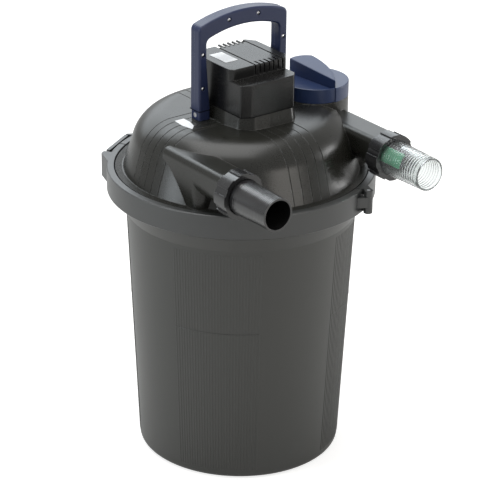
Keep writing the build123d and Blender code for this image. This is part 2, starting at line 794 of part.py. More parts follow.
def make_nut():
    """Union nut: a sleeve over the spigot with a front lip and broad grip lugs."""
    nut = rod(nut_r - nut_lug_depth, nut_start, nut_end)
    step = 360 / nut_lugs
    for i in range(nut_lugs):
        wedge = sector(step * nut_lug_share / 2, 2 * nut_r, nut_start, nut_end)
        nut += rod(nut_r, nut_start, nut_end) & (Rot(0, 0, i * step) * wedge)
    nut = nut - rod(spigot_r + nut_wall_gap, 0, lip_s)
    return nut - rod(tail_root_r + nut_lip_gap, 0, nut_end + 1)


def make_tail():
    """Hose tail: a flange held by the nut, a slightly tapered tube and a plain end."""
    end_s = tail_l
    plain_s = end_s - tail_tip_l
    outer = [(spigot_r, flange_s), (spigot_r, flange_s + tail_flange_t),
             (tail_root_r, flange_s + tail_flange_t), (tail_root_r, nut_end + tail_root_l),
             (tail_tip_r, plain_s), (tail_tip_r, end_s)]
    inner_r = tail_tip_r - tail_wall
    return turned([(inner_r, flange_s), *outer, (inner_r, end_s)])


def make_seal():
    """Flat ring between a spigot and its hose tail."""
    return tube(spigot_r - 0.2, port_bore_r + 1, seal_s, seal_s + tail_seal_t)


def make_indicator():
    """Curved green sight plate inside the clear tail."""
    inner_r = tail_tip_r - tail_wall
    plate = tube(inner_r - pin_gap, inner_r - indicator_t, flange_s + 2, indicator_end_s)
    slice_deg = Rot(0, 0, 90 + indicator_deg)
    return plate & (slice_deg * sector(indicator_half_deg, 2 * nut_r, 0, tail_l))


# ---------------------------------------------------------------- rotary valve
def on_knob(inset, deg):
    """A point this far in from the knob's edge, at an angle seen from above."""
    return ((turret_r - inset) * cos(radians(deg)), (turret_r - inset) * sin(radians(deg)))


def make_knob():
    """Valve knob: a disc with a raised pointer grip and a finger pocket beside it."""
    top = knob_z + knob_h
    far = 2 * turret_r
    grip_tip = on_knob(grip_inset, -90)
    grip_heel = on_knob(grip_inset, grip_heel_deg)
    grip_back = on_knob(grip_back_inset, grip_back_deg)
    disc = rod(turret_r, knob_z, top)
    disc = fillet(disc.faces().sort_by(Axis.Z)[-1].edges(), knob_edge)
    left = prism([grip_tip, (0, -far), (-far, -far), (-far, far), on_knob(-far, grip_heel_deg), grip_heel],
                 knob_z - 1, top + 1)
    disc = disc - (left & tube(turret_r + 1, turret_r - knob_step, knob_z - 1, top + 1))
    outline = make_face([
        Line(grip_heel, grip_tip),
        ThreePointArc(grip_tip, (grip_bulge, -3.0), grip_back),
        ThreePointArc(grip_back, on_knob(1.0, (grip_heel_deg + grip_back_deg) / 2), grip_heel),
    ])
    grip = Pos(0, 0, knob_z + 1) * extrude(outline, knob_h + 2 * grip_heel_h, dir=(0, 0, 1))
    slope = (grip_heel_h - grip_tip_h) / (grip_heel[1] - grip_tip[1])
    above = Plane.YZ * make_face(Polyline(
        (-far, top + grip_tip_h + slope * (-far - grip_tip[1])),
        (far, top + grip_tip_h + slope * (far - grip_tip[1])),
        (far, top + far), (-far, top + far), close=True))
    grip = grip - extrude(above, far, both=True)
    grip = fillet(grip.faces().sort_by(Axis.Z)[-1].edges(), knob_edge)
    pocket = left & rod(turret_r - knob_step - pocket_rim, top - pocket_depth, top + 1)
    knob = disc - pocket + grip
    knob = knob - rod(stem_r + pin_gap, knob_z - 1, knob_z + stem_grip_l + knob_gap)
    return Pos(turret_x, turret_y, 0) * knob


spool_z = deck_z + turret_floor + seat_gap
cover_z = spool_z + spool_h + seat_gap


def make_spool():
    """Valve rotor: a cup that turns in the turret, open to the dome and to one outlet at a time."""
    r = turret_r - turret_wall - seat_gap
    z0, z1 = spool_z, spool_z + spool_h
    spool = tube(r, r - spool_wall, z0, z1) + rod(r, z1 - spool_top, z1) + rod(r, z0, z0 + spool_floor)
    inlet = Pos(0, 0, port_z) * Rot(0, -90, 0) * rod(port_bore_r, 0, turret_r)
    outlet = Pos(0, 0, port_z) * Rot(-90, 0, 0) * rod(port_bore_r, 0, turret_r)
    spool = spool - inlet - outlet
    spool += rod(stem_r, z1 - 1, knob_z + stem_grip_l)
    return Pos(turret_x, turret_y, 0) * spool


def make_valve_cover():
    """Ring in the turret's mouth that keeps the rotor down and guides its stem."""
    cover = tube(turret_r - turret_wall - pin_gap, stem_r + pin_gap + stem_seal_w, cover_z, turret_top_z)
    return Pos(turret_x, turret_y, 0) * cover


def make_valve_seal():
    """Ring that seals the rotor's stem in the cover."""
    ring = tube(stem_r + stem_seal_w - pin_gap, stem_r + pin_gap, cover_z + 3, turret_top_z - 3)
    return Pos(turret_x, turret_y, 0) * ring


# ---------------------------------------------------------------- lamp head
head_z = pedestal_top_z + head_seam
head_floor_z = head_z + head_base_t
head_screw_places = [
    (head_left_x + back_left_cut[0] + head_post_r, head_front_y + 15),
    (head_mid_x - 12, head_front_y + 15),
    (head_left_x + 12, head_back_y - 13),
    (head_right_x - 13, head_back_y - 13),
]
long_groove_x = (head_left_x + groove_in[0], head_mid_x - groove_in[1])


def vented(head, bar_places):
    """The head with its back edge sloped between the long grooves, and bars over the slope."""
    x0, x1 = long_groove_x[0] + groove_w / 2, long_groove_x[1] - groove_w / 2
    slope_y = head_back_y - vent_l
    out_y = head_back_y + vent_l
    head += block(x0, x1, slope_y, head_back_y - head_wall / 2,
                  head_top_z - groove_depth - 2 * head_wall, head_top_z - groove_depth)
    above = Plane.YZ * make_face(Polyline(
        (slope_y, head_top_z), (out_y, head_top_z - 2 * vent_drop), (out_y, head_top_z + 1),
        (slope_y, head_top_z + 1), close=True))
    head = head - Pos(x0, 0, 0) * extrude(above, x1 - x0, dir=(1, 0, 0))
    for x in bar_places:
        head += block(x - vent_bar_w / 2, x + vent_bar_w / 2, slope_y - 1, head_back_y + vent_bar_out,
                      head_top_z - vent_bar_h, head_top_z)
    return head


def make_head():
    """Housing of the ultraviolet lamp head: a stepped box, open below, with grooves on top."""
    wall = head_wall
    body = head_block(lower_plan, 0, head_z, head_ledge_z)
    body = fillet(body.faces().sort_by(Axis.Z)[-1].edges(), head_edge)
    upper = head_block(upper_plan, 0, head_ledge_z - head_tuck, head_top_z)
    upper = fillet(upper.faces().sort_by(Axis.Z)[-1].edges(), head_edge)
    head = body + upper
    cut_z0, cut_z1 = head_top_z - groove_depth, head_top_z + 1
    front, back = head_step_y - 1, head_back_y + 1
    for x in long_groove_x:
        head = head - block(x - groove_w / 2, x + groove_w / 2, front, back, cut_z0, cut_z1)
    pitch = (long_groove_x[1] - long_groove_x[0]) / (notch_count + 1)
    for i in range(notch_count + 2):
        x = long_groove_x[0] + i * pitch
        x0, x1 = x - notch_w / 2, x + notch_w / 2
        head = head - block(x0, x1, front, head_step_y + wall / 2, head_ledge_z + head_edge, cut_z1)
        if 0 < i <= notch_count:
            head = head - block(x0, x1, front, head_step_y + notch_l, cut_z0, cut_z1)
            head = head - block(x0, x1, head_back_y - notch_l, head_back_y - vent_l, cut_z0, cut_z1)
    head = head - head_block(lower_plan, wall, head_z - 1, head_ledge_z - wall)
    head = head - head_block(upper_plan, wall, head_ledge_z - head_tuck, cut_z0 - wall)
    head = vented(head, [long_groove_x[0] + i * pitch for i in range(1, notch_count + 1)])
    for x, y in head_screw_places:
        top = head_ledge_z - 1 if y < head_step_y else cut_z0 - wall + 1
        post = Pos(x, y, 0)
        head += post * rod(head_post_r, head_floor_z + seat_gap, top)
        head = head - post * rod(screw_r + pin_gap, head_z, head_z + head_screw_l + head_screw_room)
    return head


def make_head_base():
    """Bottom plate of the lamp head, with the neck that plugs into the lid's bore."""
    neck_z = head_z - neck_l
    seal_z = neck_z + neck_seal_up
    neck_r = neck_bore_r - 2 * seat_gap
    base = head_block(lower_plan, head_wall + seat_gap, head_z, head_floor_z)
    base += tube(neck_r, sleeve_r + sleeve_clear, neck_z, head_z + 1)
    base = base - rod(sleeve_r + sleeve_clear, neck_z - 1, head_floor_z + 1)
    base = base - tube(neck_bore_r + 1, neck_bore_r - neck_seal_w, seal_z, seal_z + neck_seal_h)
    for x, y in head_screw_places:
        base = base - Pos(x, y, 0) * rod(screw_r + seat_gap, head_z - 1, head_floor_z + 1)
        base = base - Pos(x, y, 0) * rod(screw_head_r + seat_gap, head_z - 1, head_z + screw_head_h)
    return base


def make_head_screws():
    """Four screws from below, through the bottom plate into the housing's posts."""
    screw = rod(screw_head_r, head_z, head_z + screw_head_h)
    screw += rod(screw_r, head_z, head_z + head_screw_l)
    return Compound([Pos(x, y, 0) * screw for x, y in head_screw_places])


def make_head_seal():
    """Ring in the neck's groove, against the lid's bore."""
    z0 = head_z - neck_l + neck_seal_up + pin_gap
    return tube(neck_bore_r - pin_gap, neck_bore_r - neck_seal_w + pin_gap, z0,
                z0 + neck_seal_h - 2 * pin_gap)


def make_sleeve():
    """Quartz sleeve: a glass tube closed below, hung in the neck."""
    low_z = sleeve_bottom_z + sleeve_r
    outer = rod(sleeve_r, low_z, head_floor_z) + Pos(0, 0, low_z) * Sphere(sleeve_r)
    core_r = sleeve_r - sleeve_wall
    inner = rod(core_r, low_z, head_floor_z + 1) + Pos(0, 0, low_z) * Sphere(core_r)
    rim = tube(sleeve_r + sleeve_rim, core_r, head_floor_z - sleeve_rim_h, head_floor_z)
    return outer - inner + rim


def make_lamp():
    """Ultraviolet lamp: two thin parallel glass tubes joined below."""
    lamp = Pos(-lamp_gap, 0, 0) * rod(lamp_r, lamp_bottom_z, head_z)
    lamp += Pos(lamp_gap, 0, 0) * rod(lamp_r, lamp_bottom_z, head_z)
    bridge = Rot(0, 90, 0) * Cylinder(lamp_bridge_r, 2 * lamp_gap)
    return lamp + Pos(0, 0, lamp_bottom_z + lamp_bridge_up) * bridge


def make_socket():
    """Lamp socket on the sleeve's mouth."""
    z0 = head_floor_z
    socket = rod(sleeve_r + socket_rim, z0, z0 + socket_rim_t)
    socket += rod(sleeve_r - socket_plug_in, z0 - socket_plug_l, z0 + socket_h)
    return socket


def make_ballast():
    """Electronic ballast on the bottom plate, in front of the lamp."""
    y0 = head_front_y + ballast_front
    body = block(head_left_x + ballast_in[0], head_mid_x - ballast_in[1], y0, y0 + ballast_d,
                 head_floor_z, head_floor_z + ballast_h)
    return fillet(body.edges().filter_by(Axis.Z), ballast_r)


# ---------------------------------------------------------------- pump handle
def handle_outline():
    """Handle seen from the front: two legs, wider at the foot, and a bar that is crowned above."""
    x, xi = handle_x, handle_inner_x
    xf = xi - handle_flare
    face = make_face([
        Line((-x, handle_foot_z), (-x, handle_corner_z)),
        ThreePointArc((-x, handle_corner_z), (0, handle_crown_z), (x, handle_corner_z)),
        Line((x, handle_corner_z), (x, handle_foot_z)),
        Polyline((x, handle_foot_z), (xf, handle_foot_z), (xi, handle_flare_z), (xi, handle_arch_corner_z)),
        ThreePointArc((xi, handle_arch_corner_z), (0, handle_arch_z), (-xi, handle_arch_corner_z)),
        Polyline((-xi, handle_arch_corner_z), (-xi, handle_flare_z), (-xf, handle_foot_z), (-x, handle_foot_z)),
    ])
    corners = [v for v in face.vertices() if v.Y > handle_flare_z + 1]
    return fillet(corners, handle_corner_r)


handle_screw_places = [(side * rod_x, z) for side in (-1, 1) for z in handle_leg_screw_z]
handle_screw_places += [(side * handle_bar_screw[0], handle_bar_screw[1]) for side in (-1, 1)]
foot_z1 = handle_foot_z - seat_gap
foot_z0 = plateau_z + 2 * seat_gap
foot_pin_z = (foot_z0 + foot_z1) / 2


def across(x, z, r, y0, y1):
    """A rod along Y between two depths of the handle."""
    return Pos(x, (y0 + y1) / 2, z) * Rot(90, 0, 0) * Cylinder(r, y1 - y0)


def make_handle_shell(side):
    """One half shell of the handle; side is -1 for the front half and +1 for the rear half."""
    outer_y = handle_front_y if side < 0 else handle_back_y
    plane = Plane(origin=(0, handle_split_y, 0), x_dir=(1, 0, 0), z_dir=(0, -1, 0))
    shell = extrude(plane * handle_outline(), abs(outer_y - handle_split_y), dir=(0, side, 0))
    outer = shell.faces().sort_by(Axis.Y)[-1 if side > 0 else 0]
    shell = fillet([e for e in outer.edges() if abs(e.center().Z - handle_foot_z) > 0.5], handle_round)
    for x in (-rod_x, rod_x):
        shell = shell - Pos(x, rod_y, 0) * rod(rod_r + pin_gap, handle_foot_z - 1, rod_top_z)
    front = handle_front_y - 1
    screw_end = handle_back_y - handle_screw_cover
    for x, z in handle_screw_places:
        shell = shell - across(x, z, screw_r + pin_gap, front, screw_end)
        shell = shell - across(x, z, screw_head_r + pin_gap, front,
                               handle_front_y + handle_screw_sink + screw_head_h)
    return shell


def make_handle_screws():
    """Screws that join the handle's half shells."""
    screws = []
    head_y = handle_front_y + handle_screw_sink
    for x, z in handle_screw_places:
        screw = across(x, z, screw_r, head_y, handle_back_y - handle_screw_cover - seat_gap)
        screws.append(screw + across(x, z, screw_head_r, head_y, head_y + screw_head_h))
    return Compound(screws)


def foot_cross(r, x0, x1):
    """A rod along X through the right foot, on the cross pin's axis."""
    return Pos((x0 + x1) / 2, rod_y, foot_pin_z) * Rot(0, 90, 0) * Cylinder(r, x1 - x0)


def make_handle_foot(side):
    """Foot under one leg: a block on the rod, held by a cross pin; side is -1 for the left one."""
    foot = block(foot_inner_x, foot_outer_x, handle_front_y, handle_back_y - foot_back_in, foot_z0, foot_z1)
    foot = fillet(foot.edges().filter_by(Axis.Z), handle_round)
    foot = foot - Pos(rod_x, rod_y, 0) * rod(rod_r + pin_gap, foot_z0 - 1, foot_z1 + 1)
    foot = foot - foot_cross(foot_pin_r + pin_gap, foot_inner_x - 1, foot_outer_x + 1)
    foot = foot - foot_cross(screw_head_r + pin_gap, foot_outer_x - foot_pin_head_t - pin_gap,
                             foot_outer_x + 1)
    return foot if side > 0 else mirror(foot, about=Plane.YZ)


def make_foot_pins():
    """Headed cross pins through the feet and the rods."""
    pin = foot_cross(foot_pin_r, foot_inner_x, foot_outer_x - foot_pin_head_t / 2)
    pin += foot_cross(screw_head_r, foot_outer_x - foot_pin_head_t, foot_outer_x)
    return Compound([pin, mirror(pin, about=Plane.YZ)])


def make_pull_rod(x):
    """Pull rod from the handle down through the lid and the foam pack to the lower plate."""
    bar = Pos(x, rod_y, 0) * rod(rod_r, plate_low_z - rod_end_l, rod_top_z - seat_gap)
    return bar - Pos(x, rod_y, foot_pin_z) * Rot(0, 90, 0) * Cylinder(foot_pin_r + pin_gap, 4 * rod_r)


def make_rod_seal(x):
    """Lip seal round a pull rod, in the lid."""
    return Pos(x, rod_y, 0) * tube(rod_seal_r, rod_r + rod_gap, plateau_z - rod_seal_t, plateau_z)


def make_rod_nuts():
    """Nuts under the lower plate."""
    nut = extrude(RegularPolygon(rod_nut_r, 6), rod_nut_t) - rod(rod_r + pin_gap, -1, rod_nut_t + 1)
    low_z = plate_low_z - rod_nut_t - rod_nut_gap
    return Compound([Pos(x, rod_y, low_z) * nut for x in (-rod_x, rod_x)])


# ---------------------------------------------------------------- foam pack
plate_low_z = container_floor + foot_ring_h + seat_gap
foam_low_z = plate_low_z + plate_t + foam_gap
foam_pitch = (foam_top_z - foam_low_z + foam_gap) / foam_count


def pressing_plate(z0, r, holes_r):
    """A pierced plate over or under the foam pack."""
    plate = tube(r, centre_tube_r + loose_gap, z0, z0 + plate_t)
    for ring, count in plate_holes:
        for i in range(count):
            a = radians((i + 0.5) * 360 / count)
            x, y = ring * cos(a), ring * sin(a)
            if max(abs(abs(x) - rod_x), abs(y - rod_y)) > plate_hole_margin:
                plate = plate - Pos(x, y, 0) * rod(plate_hole_r, z0 - 1, z0 + plate_t + 1)
    for x in (-rod_x, rod_x):
        plate = plate - Pos(x, rod_y, 0) * rod(holes_r, z0 - 1, z0 + plate_t + 1)
    return plate


def make_lower_plate():
    """Lower pressing plate, carried by the pull rods."""
    r = container_radius(plate_low_z) - container_wall - plate_gap
    return pressing_plate(plate_low_z, r, rod_r + pin_gap)


def make_upper_plate():
    """Upper plate that the foam pack is squeezed against, on a step of the centre tube."""
    r = neck_r - container_wall - plate_gap
    return pressing_plate(foam_top_z + foam_gap, r, rod_r + loose_gap)


def make_foam(i):
    """One filter foam disc with holes for the centre tube and the pull rods."""
    z0 = foam_low_z + i * foam_pitch
    z1 = z0 + foam_pitch - foam_gap
    r = container_radius(z0) - container_wall - foam_side_gap
    foam = tube(r, centre_tube_r + loose_gap, z0, z1)
    for x in (-rod_x, rod_x):
        foam = foam - Pos(x, rod_y, 0) * rod(rod_r + loose_gap, z0 - 1, z1 + 1)
    return foam


def make_centre_tube():
    """Slotted tube round the lamp that the clean water rises in."""
    top = neck_low_z - seat_gap
    body = tube(centre_tube_r, centre_tube_r - centre_tube_wall, container_floor, top)
    stop_z = foam_top_z + foam_gap + plate_t + seat_gap
    body += tube(centre_tube_r + centre_collar, centre_tube_r - centre_tube_wall,
                 stop_z, stop_z + centre_collar_t)
    slot = block(centre_tube_r / 2, centre_tube_r + 1, -slot_w / 2, slot_w / 2, 0, slot_l)
    for row in range(slot_rows):
        for column in range(slot_columns):
            turn = Rot(0, 0, column * 360 / slot_columns)
            body = body - turn * Pos(0, 0, slot_low_z + row * slot_pitch) * slot
    return body


# ---------------------------------------------------------------- labels
def make_head_label():
    """Blank plate on the lamp head's top."""
    return block(head_left_x + head_label_x[0], head_left_x + head_label_x[1],
                 head_step_y + head_label_y[0], head_back_y - head_label_y[1],
                 head_top_z, head_top_z + label_t)


def make_lid_label():
    """Blank plate on the lid beside the handle's foot."""
    return prism([(x - plateau_r, y) for x, y in lid_label_corners], plateau_z, plateau_z + label_t)


# ---------------------------------------------------------------- write every sub-part
write("container", make_container())
write("lid_seal", make_lid_seal())
write("lid", make_lid())
write("clamp_ring_front", make_front_half())
write("clamp_ring_rear", make_rear_half())
write("clamp_hinge_pin", make_hinge_pin())
write("latch_lever", make_lever())
write("latch_link", make_link())
lever_pin, link_pin = make_latch_pins()
write("latch_lever_pin", lever_pin)
write("latch_link_pin", link_pin)
for name, (x, y, way) in zip(("inlet", "drain", "outlet"), ports):
    write(f"{name}_union_nut", along_port(y, x, make_nut(), way))
    write(f"{name}_seal", along_port(y, x, make_seal(), way))
write("inlet_hose_tail", along_port(inlet_end_y, -port_x, make_tail()))
write("drain_sight_tube", along_port(drain_end_y, port_x, make_tail()))
write("outlet_hose_tail", along_port(outlet_end_y, port_x, make_tail(), 1))
write("sight_indicator", along_port(drain_end_y, port_x, make_indicator()))
write("valve_knob", make_knob())
write("valve_spool", make_spool())
write("valve_cover", make_valve_cover())
write("valve_stem_seal", make_valve_seal())
write("lamp_head_housing", make_head())
write("lamp_head_base", make_head_base())
write("lamp_head_screws", make_head_screws())
write("lamp_head_seal", make_head_seal())
write("quartz_sleeve", make_sleeve())
write("uvc_lamp", make_lamp())
write("lamp_socket", make_socket())
write("lamp_ballast", make_ballast())
write("handle_front_shell", make_handle_shell(-1))
write("handle_rear_shell", make_handle_shell(1))
write("handle_screws", make_handle_screws())
write("handle_foot_pins", make_foot_pins())
write("rod_nuts", make_rod_nuts())
for name, side in (("left", -1), ("right", 1)):
    x = side * rod_x
    write(f"handle_foot_{name}", make_handle_foot(side))
    write(f"pull_rod_{name}", make_pull_rod(x))
    write(f"rod_seal_{name}", make_rod_seal(x))
write("foam_lower_plate", make_lower_plate())
write("foam_upper_plate", make_upper_plate())
for i in range(foam_count):
    write(f"filter_foam_{i + 1}", make_foam(i))
write("centre_tube", make_centre_tube())
write("head_label", make_head_label())
write("lid_label", make_lid_label())
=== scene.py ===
import json
from math import cos, pi, radians, sin

import bmesh
import bpy
from mathutils import Matrix, Vector


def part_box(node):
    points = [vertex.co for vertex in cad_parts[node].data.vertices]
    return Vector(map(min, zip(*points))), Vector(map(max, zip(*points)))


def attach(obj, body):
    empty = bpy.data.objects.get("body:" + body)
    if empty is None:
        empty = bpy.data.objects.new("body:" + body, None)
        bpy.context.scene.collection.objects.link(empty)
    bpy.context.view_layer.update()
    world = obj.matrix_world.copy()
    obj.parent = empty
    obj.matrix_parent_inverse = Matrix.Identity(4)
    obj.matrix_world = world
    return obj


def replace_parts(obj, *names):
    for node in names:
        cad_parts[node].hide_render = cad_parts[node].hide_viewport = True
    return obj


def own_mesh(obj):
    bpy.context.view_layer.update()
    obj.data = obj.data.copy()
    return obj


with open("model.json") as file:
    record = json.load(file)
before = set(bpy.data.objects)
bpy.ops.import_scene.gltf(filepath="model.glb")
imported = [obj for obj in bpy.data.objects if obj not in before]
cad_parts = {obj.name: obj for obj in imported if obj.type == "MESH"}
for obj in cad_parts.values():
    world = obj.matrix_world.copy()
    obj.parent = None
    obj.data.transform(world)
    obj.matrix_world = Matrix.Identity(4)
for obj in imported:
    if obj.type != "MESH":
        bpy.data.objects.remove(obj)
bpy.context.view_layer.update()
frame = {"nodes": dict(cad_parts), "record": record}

# A pressurized pond filter. Metres, +Z up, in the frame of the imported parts.
nodes = frame["nodes"]
MM = 0.001


# ---------------------------------------------------------------- node helpers
def add(tree, kind, **settings):
    """A new node with its settings."""
    made = tree.nodes.new(kind)
    for name, value in settings.items():
        setattr(made, name, value)
    return made


def feed(tree, socket, value):
    """Links a socket to another one's output, or sets its plain value."""
    if isinstance(value, bpy.types.NodeSocket):
        tree.links.new(value, socket)
    else:
        socket.default_value = value


def calc(tree, operation, *values, clamp=False):
    """A math node on numbers or sockets."""
    made = add(tree, "ShaderNodeMath", operation=operation, use_clamp=clamp)
    for socket, value in zip(made.inputs, values):
        feed(tree, socket, value)
    return made.outputs[0]


def mixed(tree, share, first, second, mode="MIX"):
    """A colour between two, or one laid over the other."""
    made = add(tree, "ShaderNodeMix", data_type="RGBA", blend_type=mode)
    feed(tree, made.inputs[0], share)
    feed(tree, made.inputs[6], first)
    feed(tree, made.inputs[7], second)
    return made.outputs[2]


def ranged(tree, value, low, high, to_low=0.0, to_high=1.0):
    """A value's range stretched to another and clamped."""
    made = add(tree, "ShaderNodeMapRange", clamp=True)
    for socket, number in zip(made.inputs, (value, low, high, to_low, to_high)):
        feed(tree, socket, number)
    return made.outputs[0]


def noise(tree, place, scale, detail=3.0, rough=0.55):
    """Noise at a place, from 0 to 1."""
    made = add(tree, "ShaderNodeTexNoise")
    feed(tree, made.inputs["Vector"], place)
    feed(tree, made.inputs["Scale"], scale)
    made.inputs["Detail"].default_value = detail
    made.inputs["Roughness"].default_value = rough
    return made.outputs["Fac"]


def object_place(tree):
    """The surface point in the part's own frame."""
    return add(tree, "ShaderNodeTexCoord").outputs["Object"]


def stretched(tree, place, scale):
    """A place scaled along its axes."""
    made = add(tree, "ShaderNodeMapping")
    feed(tree, made.inputs["Vector"], place)
    made.inputs["Scale"].default_value = scale
    return made.outputs[0]


def effect(name, inputs, outputs):
    """An empty shader group with named sockets: the tree, its inputs and its output node."""
    tree = bpy.data.node_groups.new(name, "ShaderNodeTree")
    for label, kind, value in inputs:
        socket = tree.interface.new_socket(label, in_out="INPUT", socket_type="NodeSocket" + kind)
        socket.default_value = value
    for label, kind in outputs:
        tree.interface.new_socket(label, in_out="OUTPUT", socket_type="NodeSocket" + kind)
    return tree, add(tree, "NodeGroupInput").outputs, add(tree, "NodeGroupOutput").inputs


# ---------------------------------------------------------------- shared effects
def make_skin():
    """Moulded skin: broad tone drift, fine grain in gloss and height."""
    tree, have, give = effect("moulded_skin", [
        ("Colour", "Color", (0.1, 0.1, 0.1, 1)),
        ("Roughness", "Float", 0.4),
        ("Drift", "Float", 0.1),
        ("Drift Size", "Float", 0.05),
        ("Grain Size", "Float", 0.001),
        ("Grain Gloss", "Float", 0.1),
    ], [("Colour", "Color"), ("Roughness", "Float"), ("Height", "Float")])
    place = object_place(tree)
    drift = noise(tree, place, calc(tree, "DIVIDE", 1.0, have["Drift Size"]))
    from_middle = calc(tree, "SUBTRACT", drift, 0.5)
    spread = calc(tree, "MULTIPLY", from_middle, calc(tree, "MULTIPLY", have["Drift"], 2.0))
    tone = calc(tree, "ADD", spread, 1.0)
    grey = add(tree, "ShaderNodeCombineColor")
    for socket in grey.inputs[:3]:
        feed(tree, socket, tone)
    grain = noise(tree, place, calc(tree, "DIVIDE", 1.0, have["Grain Size"]), 2.0)
    gloss = calc(tree, "MULTIPLY", calc(tree, "SUBTRACT", grain, 0.5), have["Grain Gloss"])
    soft = calc(tree, "MULTIPLY", from_middle, have["Grain Gloss"])
    feed(tree, give["Colour"], mixed(tree, 1.0, have["Colour"], grey.outputs[0], "MULTIPLY"))
    uneven = calc(tree, "ADD", gloss, soft)
    feed(tree, give["Roughness"], calc(tree, "ADD", have["Roughness"], uneven, clamp=True))
    feed(tree, give["Height"], grain)
    return tree


def make_edges():
    """Rounded edges: a normal that is soft at every edge, and a lighter band along them that is partly wear
    and partly painted highlight.
    """
    tree, have, give = effect("rounded_edges", [
        ("Radius", "Float", 0.0008),
        ("Break Size", "Float", 0.004),
    ], [("Normal", "Vector"), ("Wear", "Float")])
    round_off = add(tree, "ShaderNodeBevel", samples=4)
    feed(tree, round_off.inputs["Radius"], have["Radius"])
    plain = add(tree, "ShaderNodeNewGeometry").outputs["Normal"]
    dot = add(tree, "ShaderNodeVectorMath", operation="DOT_PRODUCT")
    feed(tree, dot.inputs[0], round_off.outputs[0])
    feed(tree, dot.inputs[1], plain)
    band = ranged(tree, dot.outputs["Value"], 0.995, 0.86)
    broken = noise(tree, object_place(tree), calc(tree, "DIVIDE", 1.0, have["Break Size"]), 4.0)
    feed(tree, give["Normal"], round_off.outputs[0])
    feed(tree, give["Wear"], calc(tree, "MULTIPLY", band, ranged(tree, broken, 0.35, 0.7)))
    return tree


def make_film():
    """Dust and dried water on what faces up."""
    tree, have, give = effect("dust_film", [
        ("Amount", "Float", 0.1),
        ("Size", "Float", 0.02),
    ], [("Mask", "Float")])
    up = add(tree, "ShaderNodeSeparateXYZ")
    feed(tree, up.inputs[0], add(tree, "ShaderNodeNewGeometry").outputs["Normal"])
    lying = ranged(tree, up.outputs["Z"], 0.2, 0.95)
    scale = calc(tree, "DIVIDE", 1.0, have["Size"])
    patch = ranged(tree, noise(tree, object_place(tree), scale, 5.0), 0.3, 0.75)
    feed(tree, give["Mask"], calc(tree, "MULTIPLY", calc(tree, "MULTIPLY", lying, patch), have["Amount"]))
    return tree


def make_scuffs():
    """Hairline scuffs in two directions."""
    tree, have, give = effect("hairline_scuffs", [
        ("Size", "Float", 0.03),
        ("Amount", "Float", 0.3),
    ], [("Mask", "Float")])
    place = object_place(tree)
    scale = calc(tree, "DIVIDE", 1.0, have["Size"])
    lines = []
    for turn, stretch in ((0.5, (1, 26, 26)), (-0.7, (22, 1, 22))):
        mapping = add(tree, "ShaderNodeMapping")
        feed(tree, mapping.inputs["Vector"], place)
        mapping.inputs["Rotation"].default_value = (turn, turn, turn)
        mapping.inputs["Scale"].default_value = stretch
        lines.append(ranged(tree, noise(tree, mapping.outputs[0], scale, 1.0), 0.7, 0.78))
    patch = ranged(tree, noise(tree, place, calc(tree, "MULTIPLY", scale, 0.7), 2.0), 0.45, 0.65)
    both = calc(tree, "MAXIMUM", *lines)
    feed(tree, give["Mask"], calc(tree, "MULTIPLY", calc(tree, "MULTIPLY", both, patch), have["Amount"]))
    return tree


skin, edges, film, scuffs = make_skin(), make_edges(), make_film(), make_scuffs()


def placed(tree, group, **values):
    """An effect placed in a material with its own values; words of a name are joined with _."""
    made = add(tree, "ShaderNodeGroup", node_tree=group)
    for name, value in values.items():
        feed(tree, made.inputs[name.replace("_", " ").title()], value)
    return made.outputs


# ---------------------------------------------------------------- materials
def blank(name):
    """A material with only its shader: the material, its tree and the shader's inputs."""
    material = bpy.data.materials.new(name)
    material.use_nodes = True
    return material, material.node_tree, material.node_tree.nodes["Principled BSDF"].inputs


def bumped(tree, height, depth, normal=None):
    """A normal with a height pattern of that depth in metres."""
    bump = add(tree, "ShaderNodeBump")
    feed(tree, bump.inputs["Height"], height)
    bump.inputs["Distance"].default_value = depth
    if normal is not None:
        feed(tree, bump.inputs["Normal"], normal)
    return bump.outputs[0]


def solid(colour, dim=1.0):
    """A colour with its alpha, dimmed by a factor."""
    return tuple(c * dim for c in colour) + (1,)


def moulded(name, colour, roughness, wear_and_highlight, drift=0.08, drift_size=0.06, grain_size=0.0011,
            grain_depth=0.00003, grain_gloss=0.10, radius=0.0007, dust=0.05,
            dust_colour=(0.30, 0.29, 0.26), scuff=0.12, turned=0.0, specular=0.5):
    """Moulded plastic: its skin, softened edges that turn lighter from wear and from painted highlight, a
    little dust and hairline scuffs.

    turned is the spacing in metres of the faint rings round a turned piece; 0 leaves them out.
    """
    wear_and_highlight_share, dull_share = 0.8, 0.6
    wave_scale = 0.314      # a wave texture of this scale repeats once a metre
    material, tree, shader = blank(name)
    face = placed(tree, skin, colour=solid(colour), roughness=roughness, drift=drift, drift_size=drift_size,
                  grain_size=grain_size, grain_gloss=grain_gloss)
    rim = placed(tree, edges, radius=radius)
    lines = placed(tree, scuffs, amount=scuff)["Mask"]
    settled = placed(tree, film, amount=dust)["Mask"]
    # Lighter band along the edges: partly wear, partly painted highlight.
    tone = mixed(tree, calc(tree, "MULTIPLY", rim["Wear"], wear_and_highlight_share), face["Colour"], solid(wear_and_highlight))
    tone = mixed(tree, lines, tone, solid(wear_and_highlight))
    tone = mixed(tree, settled, tone, solid(dust_colour))
    feed(tree, shader["Base Color"], tone)
    marks = calc(tree, "MULTIPLY", calc(tree, "ADD", lines, settled), dull_share)
    feed(tree, shader["Roughness"], calc(tree, "ADD", face["Roughness"], marks, clamp=True))
    normal = bumped(tree, face["Height"], grain_depth, rim["Normal"])
    if turned:
        lathe_lines = add(tree, "ShaderNodeTexWave", bands_direction="Y")
        feed(tree, lathe_lines.inputs["Vector"], object_place(tree))
        lathe_lines.inputs["Scale"].default_value = wave_scale / turned
        lathe_lines.inputs["Distortion"].default_value = 0.4
        normal = bumped(tree, lathe_lines.outputs["Fac"], turned * 0.03, normal)
    feed(tree, shader["Normal"], normal)
    shader["Specular IOR Level"].default_value = specular
    return material


